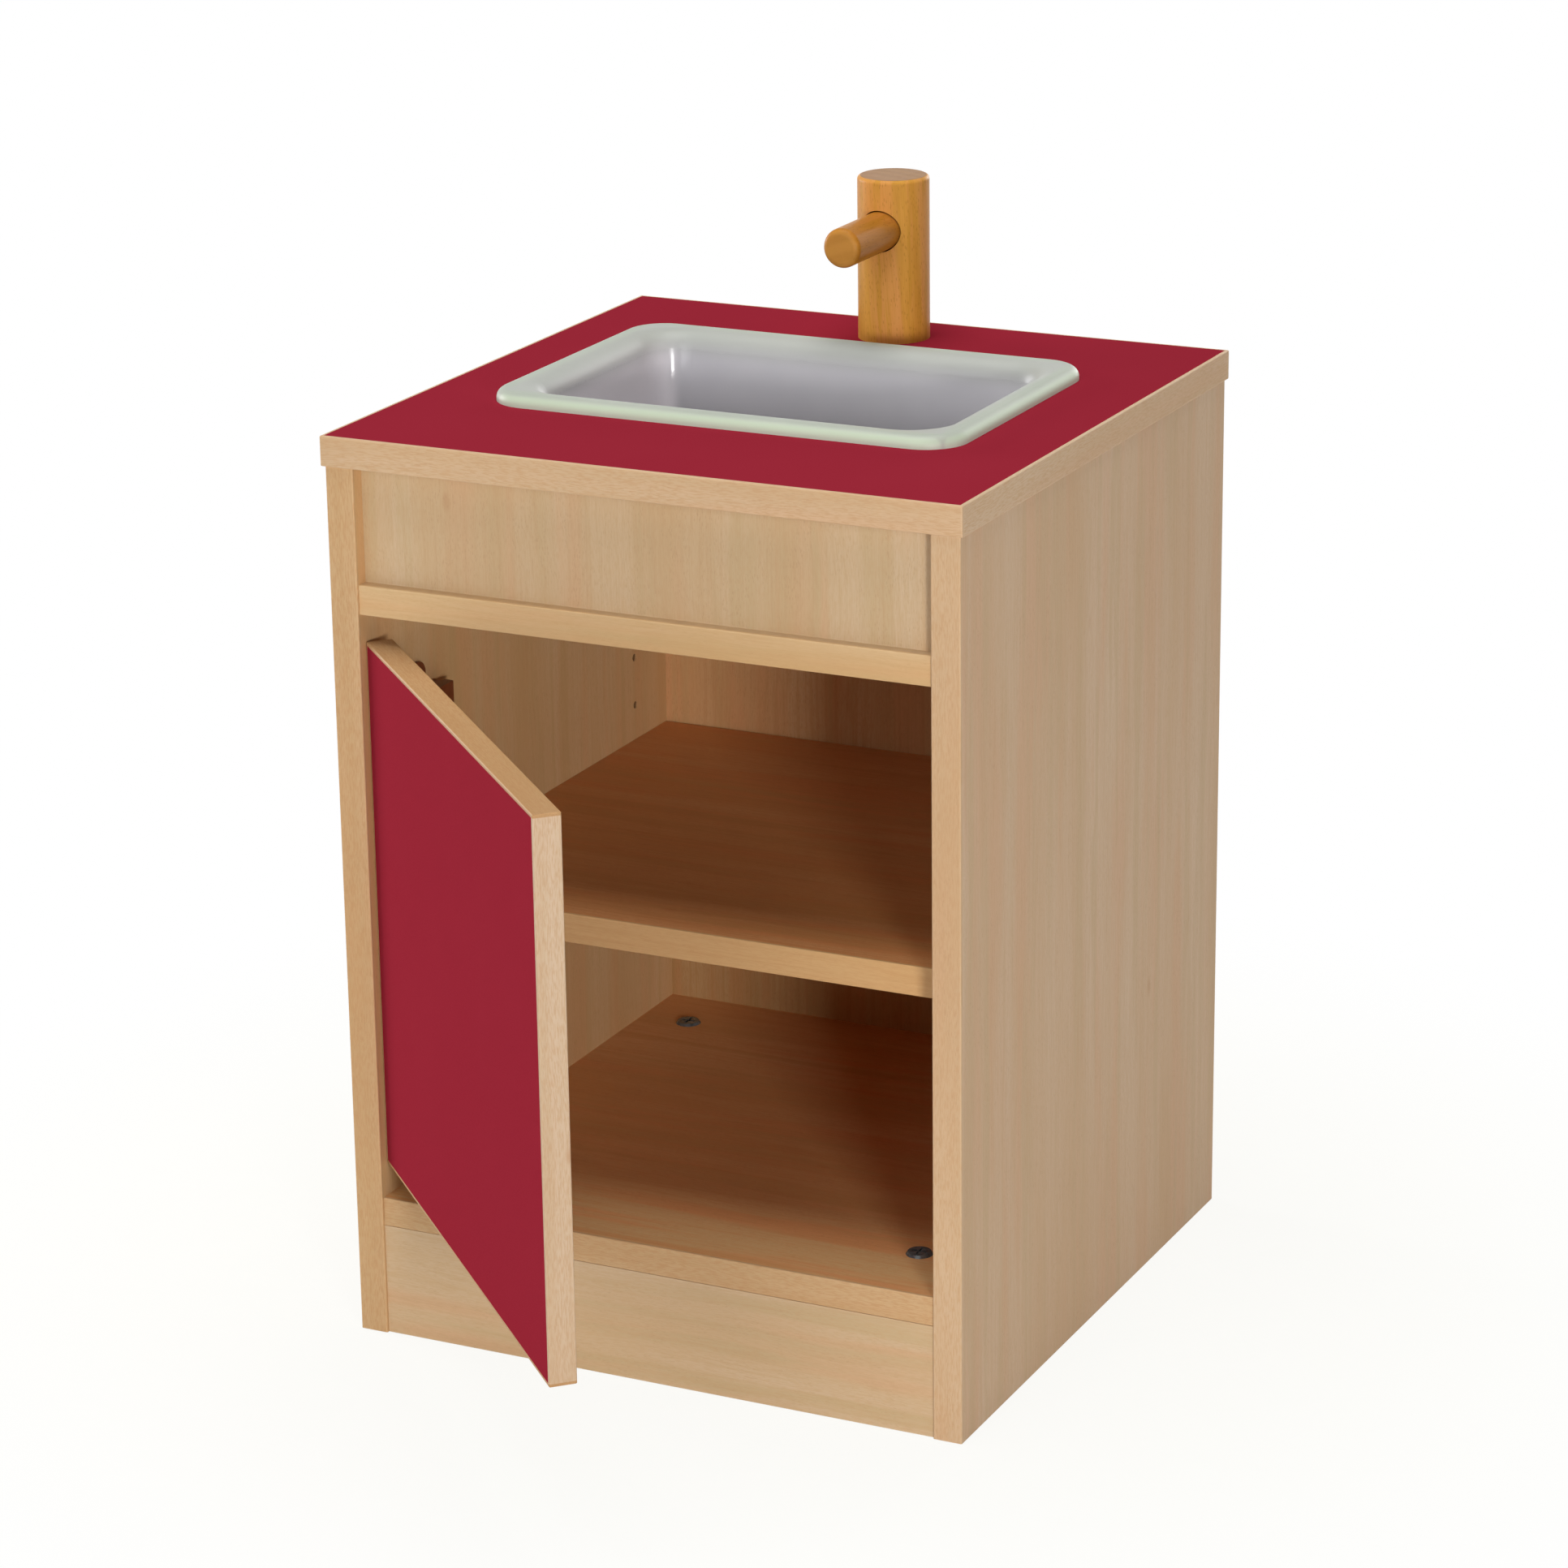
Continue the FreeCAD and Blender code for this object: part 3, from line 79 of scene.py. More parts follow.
class Surface:
    """A material with short calls for the nodes that these finishes are made of."""

    def __init__(self, name):
        self.material = bpy.data.materials.new(name)
        self.material.use_nodes = True
        self.tree = self.material.node_tree
        self.shader = self.tree.nodes["Principled BSDF"]
        self.place = self.node("ShaderNodeTexCoord").outputs["Object"]

    def node(self, kind):
        return self.tree.nodes.new(kind)

    def feed(self, socket, value):
        """Link an output to a socket, or set a plain value on it."""
        if isinstance(value, bpy.types.NodeSocket):
            self.tree.links.new(value, socket)
        else:
            socket.default_value = value

    def set(self, **values):
        """Set or link inputs of the shader, named with underscores for spaces."""
        for name, value in values.items():
            self.feed(self.shader.inputs[name.replace("_", " ")], value)

    def mapped(self, vector, scale=(1, 1, 1), turn=ALONG_X, shift=(0, 0, 0)):
        mapping = self.node("ShaderNodeMapping")
        self.feed(mapping.inputs["Vector"], vector)
        mapping.inputs["Scale"].default_value = scale
        mapping.inputs["Rotation"].default_value = turn.to_euler("XYZ")
        mapping.inputs["Location"].default_value = shift
        return mapping.outputs["Vector"]

    def stretched(self, vector, length, width):
        """Count a vector in cells of that length along the grain and width across it, in metres."""
        return self.mapped(vector, (1 / length, 1 / width, 1 / width))

    def vector(self, operation, first, second):
        node = self.node("ShaderNodeVectorMath")
        node.operation = operation
        self.feed(node.inputs[0], first)
        self.feed(node.inputs[1], second)
        return node.outputs["Vector"]

    def scalar(self, operation, first, second=0.0):
        node = self.node("ShaderNodeMath")
        node.operation = operation
        self.feed(node.inputs[0], first)
        self.feed(node.inputs[1], second)
        return node.outputs["Value"]

    def parts(self, vector):
        node = self.node("ShaderNodeSeparateXYZ")
        self.feed(node.inputs["Vector"], vector)
        return node.outputs

    def noise(self, vector, detail=2.0):
        texture = self.node("ShaderNodeTexNoise")
        self.feed(texture.inputs["Vector"], vector)
        texture.inputs["Scale"].default_value = 1.0
        texture.inputs["Detail"].default_value = detail
        return texture.outputs["Fac"]

    def even_noise(self, per_metre, detail=2.0):
        """Noise of one size in every direction, with so many cells to a metre."""
        return self.noise(self.mapped(self.place, (per_metre, per_metre, per_metre)), detail)

    def scratches(self, per_metre):
        """Slanting noise with its own number of cells to a metre on each axis."""
        return self.noise(self.mapped(self.place, per_metre, turn=SLANTING), detail=3)

    def cells(self, vector):
        """Distance from the nearest of many scattered points."""
        texture = self.node("ShaderNodeTexVoronoi")
        self.feed(texture.inputs["Vector"], vector)
        texture.inputs["Scale"].default_value = 1.0
        return texture.outputs["Distance"]

    def rings(self, vector, distortion):
        """Growth rings round the X axis."""
        texture = self.node("ShaderNodeTexWave")
        texture.wave_type = "RINGS"
        texture.rings_direction = "X"
        self.feed(texture.inputs["Vector"], vector)
        texture.inputs["Scale"].default_value = 1.0
        texture.inputs["Distortion"].default_value = distortion
        texture.inputs["Detail"].default_value = 2.0
        texture.inputs["Detail Scale"].default_value = 0.6
        return texture.outputs["Fac"]

    def mask(self, value, levels, top=1.0):
        """Rise smoothly from 0 to top as a value goes from one level to the other."""
        node = self.node("ShaderNodeMapRange")
        node.interpolation_type = "SMOOTHSTEP"
        self.feed(node.inputs["Value"], value)
        node.inputs["From Min"].default_value = levels[0]
        node.inputs["From Max"].default_value = levels[1]
        node.inputs["To Max"].default_value = top
        return node.outputs["Result"]

    def span(self, value, limits):
        """A 0 to 1 value as a number between two limits."""
        node = self.node("ShaderNodeMapRange")
        self.feed(node.inputs["Value"], value)
        node.inputs["To Min"].default_value = limits[0]
        node.inputs["To Max"].default_value = limits[1]
        return node.outputs["Result"]

    def ramp(self, value, stops):
        node = self.node("ShaderNodeValToRGB")
        self.feed(node.inputs["Fac"], value)
        elements = node.color_ramp.elements
        while len(elements) < len(stops):
            elements.new(0.5)
        for element, (position, colour) in zip(elements, stops):
            element.position = position
            element.color = colour
        return node.outputs["Color"]

    def mottled(self, value, tones):
        """A noise that wanders between two tones."""
        return self.ramp(value, [(0.3, tones[0]), (0.7, tones[1])])

    def tint_ramp(self, value, base, tints):
        """Tints of one tone, each at its place on a ramp."""
        return self.ramp(value, [(position, tinted(base, tint)) for position, tint in tints])

    def mix(self, share, first, second):
        node = self.node("ShaderNodeMix")
        node.data_type = "RGBA"
        colours = [socket for socket in node.inputs if socket.type == "RGBA"]
        self.feed(node.inputs["Factor"], share)
        self.feed(colours[0], first)
        self.feed(colours[1], second)
        return [socket for socket in node.outputs if socket.type == "RGBA"][0]

    def stain(self, colour, tone, value, levels, share):
        """Turn a colour towards a tone as a value goes from one level to the other."""
        return self.mix(self.mask(value, levels, share), colour, tone)

    def normal(self):
        """Which way the surface faces along each axis of the piece, from -1 to 1."""
        return self.parts(self.node("ShaderNodeTexCoord").outputs["Normal"])

    def wavy(self, vector, length, width, sway):
        """Bend the grain sideways by up to about sway metres, in waves of that length and width."""
        wave = self.noise(self.stretched(vector, length, width), detail=1)
        offset = self.node("ShaderNodeCombineXYZ")
        for axis in "YZ":
            self.feed(offset.inputs[axis], self.span(wave, (-sway, sway)))
        return self.vector("ADD", vector, offset.outputs["Vector"])

    def lay_marks(self, colour, base, along, marks, shares):
        """Lay marks over a colour one after the other; gives the colour and the marks' noises."""
        noises = {}
        for name, mark in marks.items():
            noise = self.noise(self.stretched(along, mark.length, mark.width), mark.detail)
            colour = self.stain(colour, tinted(base, mark.tint), noise, mark.levels, shares[name])
            noises[name] = noise
        return colour, noises

    def specks(self, along, mark, top=1.0):
        """Where the scattered spindles of a mark lie."""
        return self.mask(self.cells(self.stretched(along, mark.length, mark.width)), mark.levels, top)

    def inside_box(self, vector, low, high):
        """Distance of a point from the nearer of a box's two faces, on each axis."""
        from_low = self.vector("SUBTRACT", vector, low)
        from_high = self.vector("SUBTRACT", high, vector)
        return self.parts(self.vector("MINIMUM", from_low, from_high))

    def depth_and_arris(self, vector, low, high):
        """How deep a point lies under a box's nearest face, and its distance from the nearest arris."""
        x, y, z = self.inside_box(vector, low, high)
        least = self.scalar("MINIMUM", self.scalar("MINIMUM", x, y), z)
        most = self.scalar("MAXIMUM", self.scalar("MAXIMUM", x, y), z)
        total = self.scalar("ADD", self.scalar("ADD", x, y), z)
        middle = self.scalar("SUBTRACT", self.scalar("SUBTRACT", total, least), most)
        return least, middle

    def bump(self, value, depth):
        """Raise the surface by a 0 to 1 value, with the depth in metres."""
        node = self.node("ShaderNodeBump")
        node.inputs["Distance"].default_value = depth
        self.feed(node.inputs["Height"], value)
        self.feed(self.shader.inputs["Normal"], node.outputs["Normal"])


def turned_box(piece, turn):
    """Lowest and highest corners of a piece after a turn."""
    points = [turn @ vertex.co for vertex in nodes[piece].data.vertices]
    return [Vector([pick(values) for values in zip(*points)]) for pick in (min, max)]


def dress(material, pieces):
    for piece in pieces:
        slots = nodes[piece].data.materials
        slots.clear()
        slots.append(material)


# Beech: sizes in metres of the grain's waves (length, width, sway), its broad drift and its patches
GRAIN_WAVE = (0.15, 0.05, 0.005)
DRIFT = (0.50, 0.05)
PATCH = (0.030, 0.011)
PATTERN_STEP = Vector((0.37, 0.113, 0.051))
DRIFT_TINTS = ((0.34, (0.95, 0.90, 0.82)), (0.50, (1, 1, 1)), (0.66, (1.05, 1.10, 1.18)))
BEECH_MARKS = {
    "blush": Mark(0.30, 0.020, (1.02, 0.90, 0.86), (0.48, 0.66)),
    "shade": Mark(0.36, 0.014, (0.91, 0.92, 0.85), (0.50, 0.68)),
    "growth": Mark(0.12, 0.0020, (0.88, 0.78, 0.66), (0.46, 0.70), 3.0),
    "hairs": Mark(0.045, 0.0007, (0.84, 0.76, 0.68), (0.48, 0.76)),
    "dashes": Mark(0.0055, 0.0006, (0.90, 0.79, 0.67), (0.42, 0.64), 1.0),
}
FLECK = Mark(0.0042, 0.0009, (0.56, 0.42, 0.30), (0.36, 0.14))
KNOT = Mark(0.15, 0.06, (0.82, 0.66, 0.54), (0.060, 0.012))
KNOT_SHARE = 0.5

# Patches with more flecks, and patches rubbed paler where an arris is near, in metres from it
CROWDED = (0.36, 0.60)
HANDLED = (0.30, 0.62)
ARRIS_REACH = (0.0015, 0.0003)
RUBBED_TINT = (1.10, 1.13, 1.17)

# Dark bores by their depth (bare core with painted shade), painted light as a paler front zone by Y and
# painted shade as a darker low zone by Z, all in metres
BORE_DEPTH = (0.0002, 0.0012)
BORE_SHADE_TINT = (0.30, 0.22, 0.16)
LIT_FRONT_ZONE = (-0.09, -0.18)
LIT_FRONT_TINT = (0.92, 1.18, 1.28)
SHADE_ZONE = (0.30, 0.16)
SHADE_TINT = (0.66, 0.64, 0.53)

BEECH_ROUGHNESS = (0.42, 0.60)
BEECH_SPECULAR = 0.26
BEECH_RELIEF = 0.00004


def shown(streaks, growth, dashes, flecks, bores=0.0):
    """How strongly each mark shows on one kind of board or edge."""
    return {
        "blush": streaks,
        "shade": streaks,
        "growth": growth,
        "hairs": 0.25,
        "dashes": dashes,
        "flecks": flecks,
        "bores": bores,
        "rubbed": 0.32,
        "painted_light": 0.0,
        "shaded": 0.0,
    }


FOIL = shown(streaks=0.68, growth=0.24, dashes=0.28, flecks=0.22, bores=0.9)
DEEP = shown(streaks=0.90, growth=0.50, dashes=0.35, flecks=0.25, bores=0.9)
PLINTH = shown(streaks=0.90, growth=0.30, dashes=0.35, flecks=0.16, bores=0.9)
EDGE = shown(streaks=0.40, growth=0.12, dashes=0.65, flecks=0.16)
RAIL = shown(streaks=0.60, growth=0.28, dashes=0.20, flecks=0.10)
LIT_FRONT_BOARD = DEEP | {"painted_light": 0.9}
SHADED = DEEP | {"shaded": 0.8}
DOOR = EDGE | {"rubbed": 0.08}

FRONT_BEECH = srgb(197, 169, 133)
PLINTH_BEECH = srgb(201, 173, 137)
LEFT_BEECH = srgb(208, 170, 123)
RIGHT_BEECH = srgb(200, 169, 135)
BACK_BEECH = srgb(210, 167, 120)
# Painted shade: the bottom panel and the shelf take redder, more saturated copies of the beech, for the
# look of their shade
SHADED_INNER_BEECH = srgb(215, 160, 108)
SHADED_SHELF_BEECH = srgb(212, 149, 95)
PALE_EDGE = srgb(202, 171, 136)
WARM_EDGE = srgb(197, 161, 118)
DOOR_EDGE = srgb(181, 142, 98)
FREE_EDGE = srgb(194, 166, 136)
GOLDEN_EDGE = srgb(206, 172, 127)
ORANGE_EDGE = srgb(203, 160, 108)

BEECH_PIECES = {
    "left_side_panel": (ALONG_Z, LEFT_BEECH, FOIL),
    "right_side_panel": (ALONG_Z, RIGHT_BEECH, FOIL),
    "fascia_panel": (ALONG_Z, FRONT_BEECH, FOIL),
    "back_panel": (ALONG_Z, BACK_BEECH, SHADED),
    "plinth_board": (ALONG_X, PLINTH_BEECH, PLINTH),
    "bottom_panel": (ALONG_X, SHADED_INNER_BEECH, LIT_FRONT_BOARD),
    "upper_panel": (ALONG_X, FRONT_BEECH, FOIL),
    "shelf_board": (ALONG_X, SHADED_SHELF_BEECH, DEEP),
    "left_side_front_band": (ALONG_Z, WARM_EDGE, EDGE),
    "right_side_front_band": (ALONG_Z, PALE_EDGE, EDGE),
    "bottom_panel_front_band": (ALONG_X, WARM_EDGE, EDGE),
    "upper_panel_front_band": (ALONG_X, GOLDEN_EDGE, RAIL),
    "shelf_front_band": (ALONG_X, ORANGE_EDGE, RAIL),
    "worktop_front_band": (ALONG_X, PALE_EDGE, EDGE),
    "worktop_rear_band": (ALONG_X, PALE_EDGE, EDGE),
    "worktop_left_band": (ALONG_Y, PALE_EDGE, EDGE),
    "worktop_right_band": (ALONG_Y, PALE_EDGE, EDGE),
    "door_top_band": (ALONG_DOOR, DOOR_EDGE, DOOR),
    "door_bottom_band": (ALONG_DOOR, DOOR_EDGE, DOOR),
    "door_free_band": (UP_DOOR, FREE_EDGE, DOOR),
    "door_hinge_band": (UP_DOOR, PALE_EDGE, DOOR),
    "wooden_dowels": (ALONG_X, PALE_EDGE, RAIL),
    "worktop_blocks": (ALONG_Y, PALE_EDGE, RAIL),
}


def beech(piece, grain, base, shares, shift):
    """Beech with soft streaks, growth lines and short flecks, paler at rubbed arrises, darker in bores with
    painted shade, and, where its shares ask, painted light on a front zone and painted shade on a low inner
    zone.
    """
    surface = Surface(f"{piece}_beech")
    turned = surface.mapped(surface.place, turn=grain)
    along = surface.wavy(surface.mapped(turned, shift=shift), *GRAIN_WAVE)
    drift = surface.noise(surface.stretched(along, *DRIFT))
    colour = surface.tint_ramp(drift, base, DRIFT_TINTS)
    # Painted light: a paler zone towards the front of the board
    if shares["painted_light"]:
        forward = surface.parts(surface.place)["Y"]
        lit_front = tinted(base, LIT_FRONT_TINT)
        colour = surface.stain(colour, lit_front, forward, LIT_FRONT_ZONE, shares["painted_light"])
    colour, noises = surface.lay_marks(colour, base, along, BEECH_MARKS, shares)
    patches = surface.noise(surface.stretched(along, *PATCH))
    crowded = surface.mask(patches, CROWDED, shares["flecks"])
    flecks = surface.scalar("MULTIPLY", surface.specks(along, FLECK), crowded)
    colour = surface.mix(flecks, colour, tinted(base, FLECK.tint))
    colour = surface.mix(surface.specks(along, KNOT, KNOT_SHARE), colour, tinted(base, KNOT.tint))
    depth, arris = surface.depth_and_arris(turned, *turned_box(piece, grain))
    handled = surface.mask(patches, HANDLED, shares["rubbed"])
    rubbed = surface.scalar("MULTIPLY", surface.mask(arris, ARRIS_REACH), handled)
    colour = surface.mix(rubbed, colour, tinted(base, RUBBED_TINT))
    # Bores: the bare core, darkened further with painted shade
    colour = surface.stain(colour, tinted(base, BORE_SHADE_TINT), depth, BORE_DEPTH, shares["bores"])
    # Painted shade: the inner face darker towards the bottom of the board
    if shares["shaded"]:
        inner_face = surface.mask(surface.normal()["Y"], TO_FRONT, shares["shaded"])
        low = surface.mask(surface.parts(surface.place)["Z"], SHADE_ZONE)
        shaded = surface.vector("MULTIPLY", colour, SHADE_TINT)
        colour = surface.mix(surface.scalar("MULTIPLY", inner_face, low), colour, shaded)
    surface.set(
        Base_Color=colour,
        Roughness=surface.span(noises["hairs"], BEECH_ROUGHNESS),
        Specular_IOR_Level=BEECH_SPECULAR,
    )
    surface.bump(surface.scalar("SUBTRACT", noises["hairs"], flecks), BEECH_RELIEF)
    return surface.material


# Tap: growth rings and marks under amber lacquer, sawn ends of another tone, and its two pieces
RING_SCALE = (12, 30, 30)
RING_DISTORTION = 4.0
RING_TINTS = ((0.1, (0.95, 0.92, 0.87)), (0.5, (1, 1, 1)), (0.9, (1.02, 1.03, 1.07)))
LACQUER_MARKS = {
    "rosy": Mark(0.12, 0.010, (1.05, 0.98, 1.5), (0.44, 0.60)),
    "golden": Mark(0.07, 0.0045, (0.88, 0.88, 0.66), (0.48, 0.66)),
    "hairs": Mark(0.03, 0.0008, (0.80, 0.71, 0.58), (0.46, 0.72)),
}
LACQUER_FLECK = Mark(0.005, 0.0012, (0.5, 0.4, 0.3), (0.32, 0.12))
LACQUER_SHARES = {"rosy": 0.85, "golden": 0.75, "hairs": 0.40, "flecks": 0.42, "end": 0.8}
LACQUER_ROUGHNESS = (0.28, 0.38)
LACQUER_SPECULAR = 0.07
LACQUER_RELIEF = 0.00003
END_TINTS = ((0.2, (0.9, 0.88, 0.85)), (0.8, (1, 1, 1)))

TAP_PIECES = {
    "tap_post": {
        "base": srgb(207, 149, 64),
        "grain": Matrix.Rotation(math.radians(4), 3, "Y") @ ALONG_Z,
        "pith": (0, -0.09, 0.03),
        "end_base": srgb(140, 103, 67),
        "end_axis": "Z",
        "end_levels": (0.93, 0.99),
    },
    "tap_spout": {
        "base": srgb(181, 119, 40),
        "grain": Matrix.Rotation(math.radians(-5), 3, "Y") @ ALONG_Y,
        "pith": (0, 0.02, -0.57),
        "end_base": srgb(193, 137, 66),
        "end_axis": "Y",
        "end_levels": (0.40, 0.99),
    },
}


def lacquered_beech(piece, base, grain, pith, end_base, end_axis, end_levels):
    """Solid beech under amber lacquer: growth rings cut by the turned shape, and fine flecks."""
    surface = Surface(f"{piece}_beech")
    along = surface.mapped(surface.place, turn=grain, shift=pith)
    rings = surface.rings(surface.mapped(along, RING_SCALE), RING_DISTORTION)
    colour = surface.tint_ramp(rings, base, RING_TINTS)
    colour, noises = surface.lay_marks(colour, base, along, LACQUER_MARKS, LACQUER_SHARES)
    flecks = surface.specks(along, LACQUER_FLECK, LACQUER_SHARES["flecks"])
    colour = surface.mix(flecks, colour, tinted(base, LACQUER_FLECK.tint))
    facing_end = surface.scalar("ABSOLUTE", surface.normal()[end_axis])
    end_tone = surface.tint_ramp(rings, end_base, END_TINTS)
    colour = surface.stain(colour, end_tone, facing_end, end_levels, LACQUER_SHARES["end"])
    surface.set(
        Base_Color=colour,
        Roughness=surface.span(noises["golden"], LACQUER_ROUGHNESS),
        Specular_IOR_Level=LACQUER_SPECULAR,
    )
    surface.bump(surface.scalar("SUBTRACT", noises["hairs"], flecks), LACQUER_RELIEF)
    return surface.material


# Red laminate, brown hinges, metals and cores: pairs of tones that a noise wanders between
RED = (srgb(147, 37, 52), srgb(154, 42, 57))
RED_HANDLED = srgb(156, 45, 60)
HINGE_BROWN = (srgb(108, 54, 28), srgb(129, 70, 40))
ZINC = (srgb(150, 148, 142), srgb(196, 194, 186))
DARK_ZINC = (srgb(78, 82, 84), srgb(112, 118, 120))
CHIP_TONES = [(0.1, srgb(140, 102, 62)), (0.5, srgb(182, 144, 98)), (0.9, srgb(206, 172, 126))]
CHIP_DUST = srgb(120, 84, 50)


def red_laminate():
    """Matt laminate with a fine speckle and faint handling marks."""
    surface = Surface("red_laminate")
    speckle = surface.even_noise(1400)
    cloud = surface.even_noise(11, detail=3)
    colour = surface.stain(surface.mottled(speckle, RED), RED_HANDLED, cloud, (0.42, 0.75), share=0.15)
    surface.set(Base_Color=colour, Roughness=surface.span(cloud, (0.46, 0.56)), Specular_IOR_Level=0.0)
    surface.bump(speckle, depth=0.00002)
    return surface.material


def moulded_brown():
    """Brown moulding with a fine grit."""
    surface = Surface("hinge_brown")
    cloud = surface.even_noise(120, detail=3)
    grit = surface.even_noise(2600)
    surface.set(Base_Color=surface.mottled(cloud, HINGE_BROWN), Roughness=surface.span(grit, (0.30, 0.46)))
    surface.bump(grit, depth=0.00003)
    return surface.material


def metal(name, tones, roughness, metallic):
    """Plated metal with fine scratches."""
    surface = Surface(name)
    scratches = surface.scratches((300, 4200, 900))
    surface.set(
        Base_Color=surface.mottled(surface.even_noise(260), tones),
        Metallic=metallic,
        Roughness=surface.span(scratches, roughness),
    )
    surface.bump(scratches, depth=0.00001)
    return surface.material


def pressed_core():
    """Pressed wood chips, seen only where a board is cut."""
    surface = Surface("board_core")
    chips = surface.cells(surface.mapped(surface.place, (420, 160, 420)))
    dust = surface.even_noise(1500, detail=3)
    colour = surface.stain(surface.ramp(chips, CHIP_TONES), CHIP_DUST, dust, (0.5, 0.8), share=0.5)
    surface.set(Base_Color=colour, Roughness=0.85)
    surface.bump(surface.scalar("ADD", chips, dust), depth=0.00012)
    return surface.material


# Sink: its tones, with painted shade low in the bowl and painted light on the bowl's left wall and the
# rim's outer face, and where they change, in metres below the rim's top or in from the rim's outside
SHADED_LOW_BOWL = (srgb(146, 143, 146), srgb(152, 149, 152))
HIGH_BOWL = (srgb(203, 201, 206), srgb(209, 207, 211))
LIT_LEFT_WALL = srgb(237, 231, 235)
RIM = (srgb(166, 173, 159), srgb(172, 178, 165))
INNER_RIM = srgb(171, 171, 168)
LIT_OUTER_RIM = srgb(189, 205, 180)
BOWL_RISE = (0.0675, 0.0195)
RIM_RISE = (0.0195, 0.0015)
INNER_ZONE = (0.008, 0.014)
OUTER_ZONE = (0.008, 0.006)


def sink_plastic():
    """Moulded plastic: satin and a little greener on the rim, glossier down in the bowl, with painted shade
    low in the bowl and painted light on its left wall and the rim's outer face.
    """
    surface = Surface("sink_plastic")
    low, high = turned_box("sink_bowl", ALONG_X)
    below_top = surface.scalar("SUBTRACT", high.z, surface.parts(surface.place)["Z"])
    from_side, from_front, _ = surface.inside_box(surface.place, low, high)
    inset = surface.scalar("MINIMUM", from_side, from_front)
    normal = surface.normal()
    cloud = surface.even_noise(18, detail=3)
    # Painted shade: the bowl darker deeper down, lighter near the rim
    bowl_share = surface.mask(below_top, BOWL_RISE)
    bowl = surface.mix(bowl_share, surface.mottled(cloud, SHADED_LOW_BOWL), surface.mottled(cloud, HIGH_BOWL))
    # Painted light: the bowl's wall that faces right, lighter as if lit
    bowl = surface.stain(bowl, LIT_LEFT_WALL, normal["X"], (0.2, 0.8), share=0.9)
    rim = surface.stain(surface.mottled(cloud, RIM), INNER_RIM, inset, INNER_ZONE, share=0.6)
    # Painted light: the rim's outer face towards the front and right, lighter and greener as if lit
    front_or_right_face = surface.scalar(
        "MAXIMUM",
        surface.mask(normal["Y"], TO_FRONT),
        surface.mask(normal["X"], TO_RIGHT),
    )
    lit_outer_share = surface.scalar("MULTIPLY", front_or_right_face, surface.mask(inset, OUTER_ZONE))
    rim = surface.mix(lit_outer_share, rim, LIT_OUTER_RIM)
    rim_share = surface.mask(below_top, RIM_RISE)
    scuffed = surface.span(surface.scratches((60, 900, 240)), (0.06, 0.18))
    surface.set(
        Base_Color=surface.mix(rim_share, bowl, rim),
        Roughness=surface.scalar("ADD", scuffed, surface.span(rim_share, (0.0, 0.36))),
        Specular_IOR_Level=0.4,
        Subsurface_Weight=0.12,
        Subsurface_Radius=(0.004, 0.004, 0.004),
        Subsurface_Scale=1.0,
    )
    surface.bump(surface.even_noise(260, detail=1), depth=0.00002)
    return surface.material


def dress_all():
    for count, (piece, finish) in enumerate(BEECH_PIECES.items()):
        dress(beech(piece, *finish, PATTERN_STEP * count), [piece])
    for piece, finish in TAP_PIECES.items():
        dress(lacquered_beech(piece, **finish), [piece])
    dress(red_laminate(), ["worktop_laminate", "door_front_laminate", "door_back_laminate"])
    dress(sink_plastic(), ["sink_bowl"])
    dress(moulded_brown(), ["hinge_plates", "hinge_arms", "hinge_cups"])
    dress(pressed_core(), ["worktop_board", "door_core"])
    dress(metal("zinc", ZINC, roughness=(0.28, 0.46), metallic=1.0), [
        "cam_bolts",
        "shelf_bolts",
        "block_screws",
        "tap_screw",
        "tap_washer",
        "hinge_plate_screws",
        "hinge_arm_screws",
        "hinge_cup_screws",
        "hinge_pins",
    ])
    dark_zinc = metal("dark_zinc", DARK_ZINC, roughness=(0.16, 0.32), metallic=0.4)
    dress(dark_zinc, ["cam_locks", "shelf_locks"])


# Floor: how much of it is plain white by the object, and where that becomes all of it, in metres
FLOOR_GLOW = 0.89
FLOOR_FADE = (0.30, 0.75)
FLOOR_SIDE = 12.0
FLOOR_DROP = 0.0004
FLOOR = (srgb(244, 243, 238), srgb(247, 246, 242))
NEAR_WHITE = srgb(255, 255, 252)
WHITE = srgb(255, 255, 255)


def seen_directly(tree):
    """1 for rays from the camera, a reflection or clear material, else 0."""
    path = tree.nodes.new("ShaderNodeLightPath")
    seen = path.outputs["Is Camera Ray"]
    for name in ("Is Glossy Ray", "Is Transmission Ray"):
        node = tree.nodes.new("ShaderNodeMath")
        node.operation = "MAXIMUM"
        tree.links.new(seen, node.inputs[0])
        tree.links.new(path.outputs[name], node.inputs[1])
        seen = node.outputs["Value"]
    return seen


def white_world():
    """White to the camera and in reflections, and no light of its own."""
    world = bpy.data.worlds.new("studio")
    bpy.context.scene.world = world
    world.use_nodes = True
    backdrop = world.node_tree.nodes["Background"]
    backdrop.inputs["Color"].default_value = WHITE
    world.node_tree.links.new(seen_directly(world.node_tree), backdrop.inputs["Strength"])


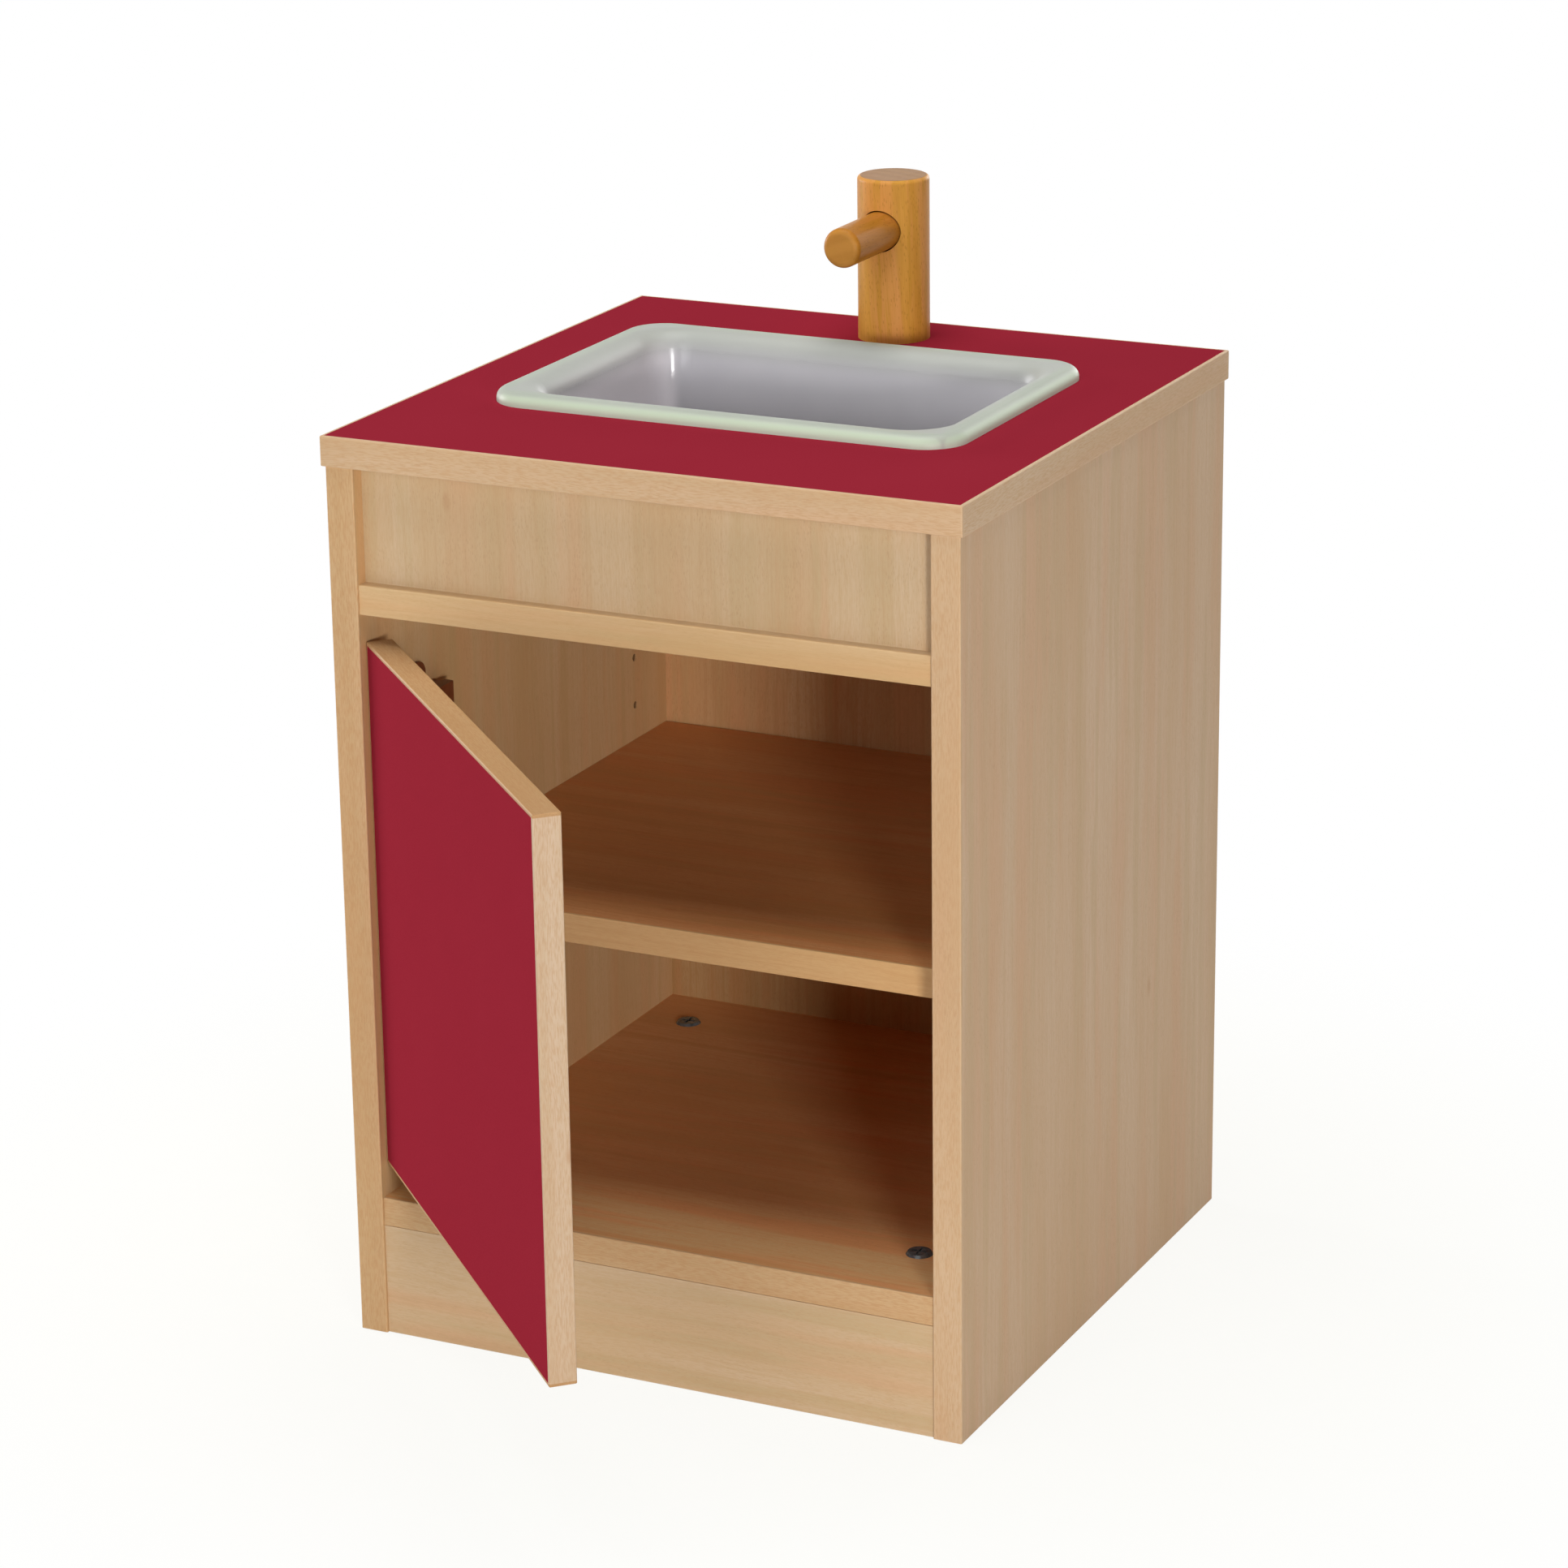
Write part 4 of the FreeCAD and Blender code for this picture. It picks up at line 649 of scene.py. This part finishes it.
def white_floor():
    """A pale floor that takes the shadow and fades into the white backdrop."""
    half = FLOOR_SIDE / 2
    corners = [(x, y, -FLOOR_DROP) for x, y in ((-half, -half), (half, -half), (half, half), (-half, half))]
    mesh = bpy.data.meshes.new("floor")
    mesh.from_pydata(corners, [], [(0, 1, 2, 3)])
    floor = bpy.data.objects.new("floor", mesh)
    bpy.context.scene.collection.objects.link(floor)
    surface = Surface("floor")
    colour = surface.mottled(surface.even_noise(40), FLOOR)
    surface.set(Base_Color=colour, Roughness=0.9, Specular_IOR_Level=0.0)
    away = surface.node("ShaderNodeVectorMath")
    away.operation = "LENGTH"
    surface.feed(away.inputs["Vector"], surface.place)
    fade = surface.mask(away.outputs["Value"], FLOOR_FADE)
    glow = surface.node("ShaderNodeEmission")
    surface.feed(glow.inputs["Color"], surface.mix(fade, NEAR_WHITE, WHITE))
    white_share = surface.span(fade, (FLOOR_GLOW, 1.0))
    glow_share = surface.scalar("MULTIPLY", seen_directly(surface.tree), white_share)
    mix = surface.node("ShaderNodeMixShader")
    surface.feed(mix.inputs["Fac"], glow_share)
    surface.feed(mix.inputs[1], surface.shader.outputs["BSDF"])
    surface.feed(mix.inputs[2], glow.outputs["Emission"])
    surface.feed(surface.tree.nodes["Material Output"].inputs["Surface"], mix.outputs["Shader"])
    mesh.materials.append(surface.material)


def softbox(name, azimuth, elevation, distance, side, watts):
    turn, rise = math.radians(azimuth), math.radians(elevation)
    away = Vector((math.sin(turn) * math.cos(rise), -math.cos(turn) * math.cos(rise), math.sin(rise)))
    lamp = bpy.data.lights.new(name, "AREA")
    lamp.energy = watts
    lamp.size = side
    lamp_object = bpy.data.objects.new(name, lamp)
    lamp_object.location = Vector(LIGHT_TARGET) + away * distance
    lamp_object.rotation_mode = "QUATERNION"
    lamp_object.rotation_quaternion = (-away).to_track_quat("-Z", "Y")
    bpy.context.scene.collection.objects.link(lamp_object)


def place_camera():
    turn, rise, roll = (math.radians(a) for a in (CAMERA_AZIMUTH, CAMERA_ELEVATION, CAMERA_ROLL))
    ahead = Vector((-math.sin(turn) * math.cos(rise), math.cos(turn) * math.cos(rise), -math.sin(rise)))
    level = Vector((math.cos(turn), math.sin(turn), 0))
    upright = level.cross(ahead)
    right = level * math.cos(roll) + upright * math.sin(roll)
    up = upright * math.cos(roll) - level * math.sin(roll)
    data = bpy.data.cameras.new("camera")
    data.sensor_width = SENSOR_MM
    data.lens = FOCAL_PIXELS / PHOTO_SIDE * SENSOR_MM
    data.shift_x = 0.5 - VIEW_CENTRE[0] / PHOTO_SIDE
    data.shift_y = VIEW_CENTRE[1] / PHOTO_SIDE - 0.5
    camera = bpy.data.objects.new("camera", data)
    axes = Matrix((right, up, -ahead)).transposed().to_4x4()
    camera.matrix_world = Matrix.Translation(CAMERA_AT) @ axes
    bpy.context.scene.collection.objects.link(camera)
    bpy.context.scene.camera = camera


dress_all()
white_world()
white_floor()
for lamp_name, lamp_values in LAMPS.items():
    softbox(lamp_name, *lamp_values)
place_camera()
bpy.context.scene.view_settings.view_transform = "Standard"
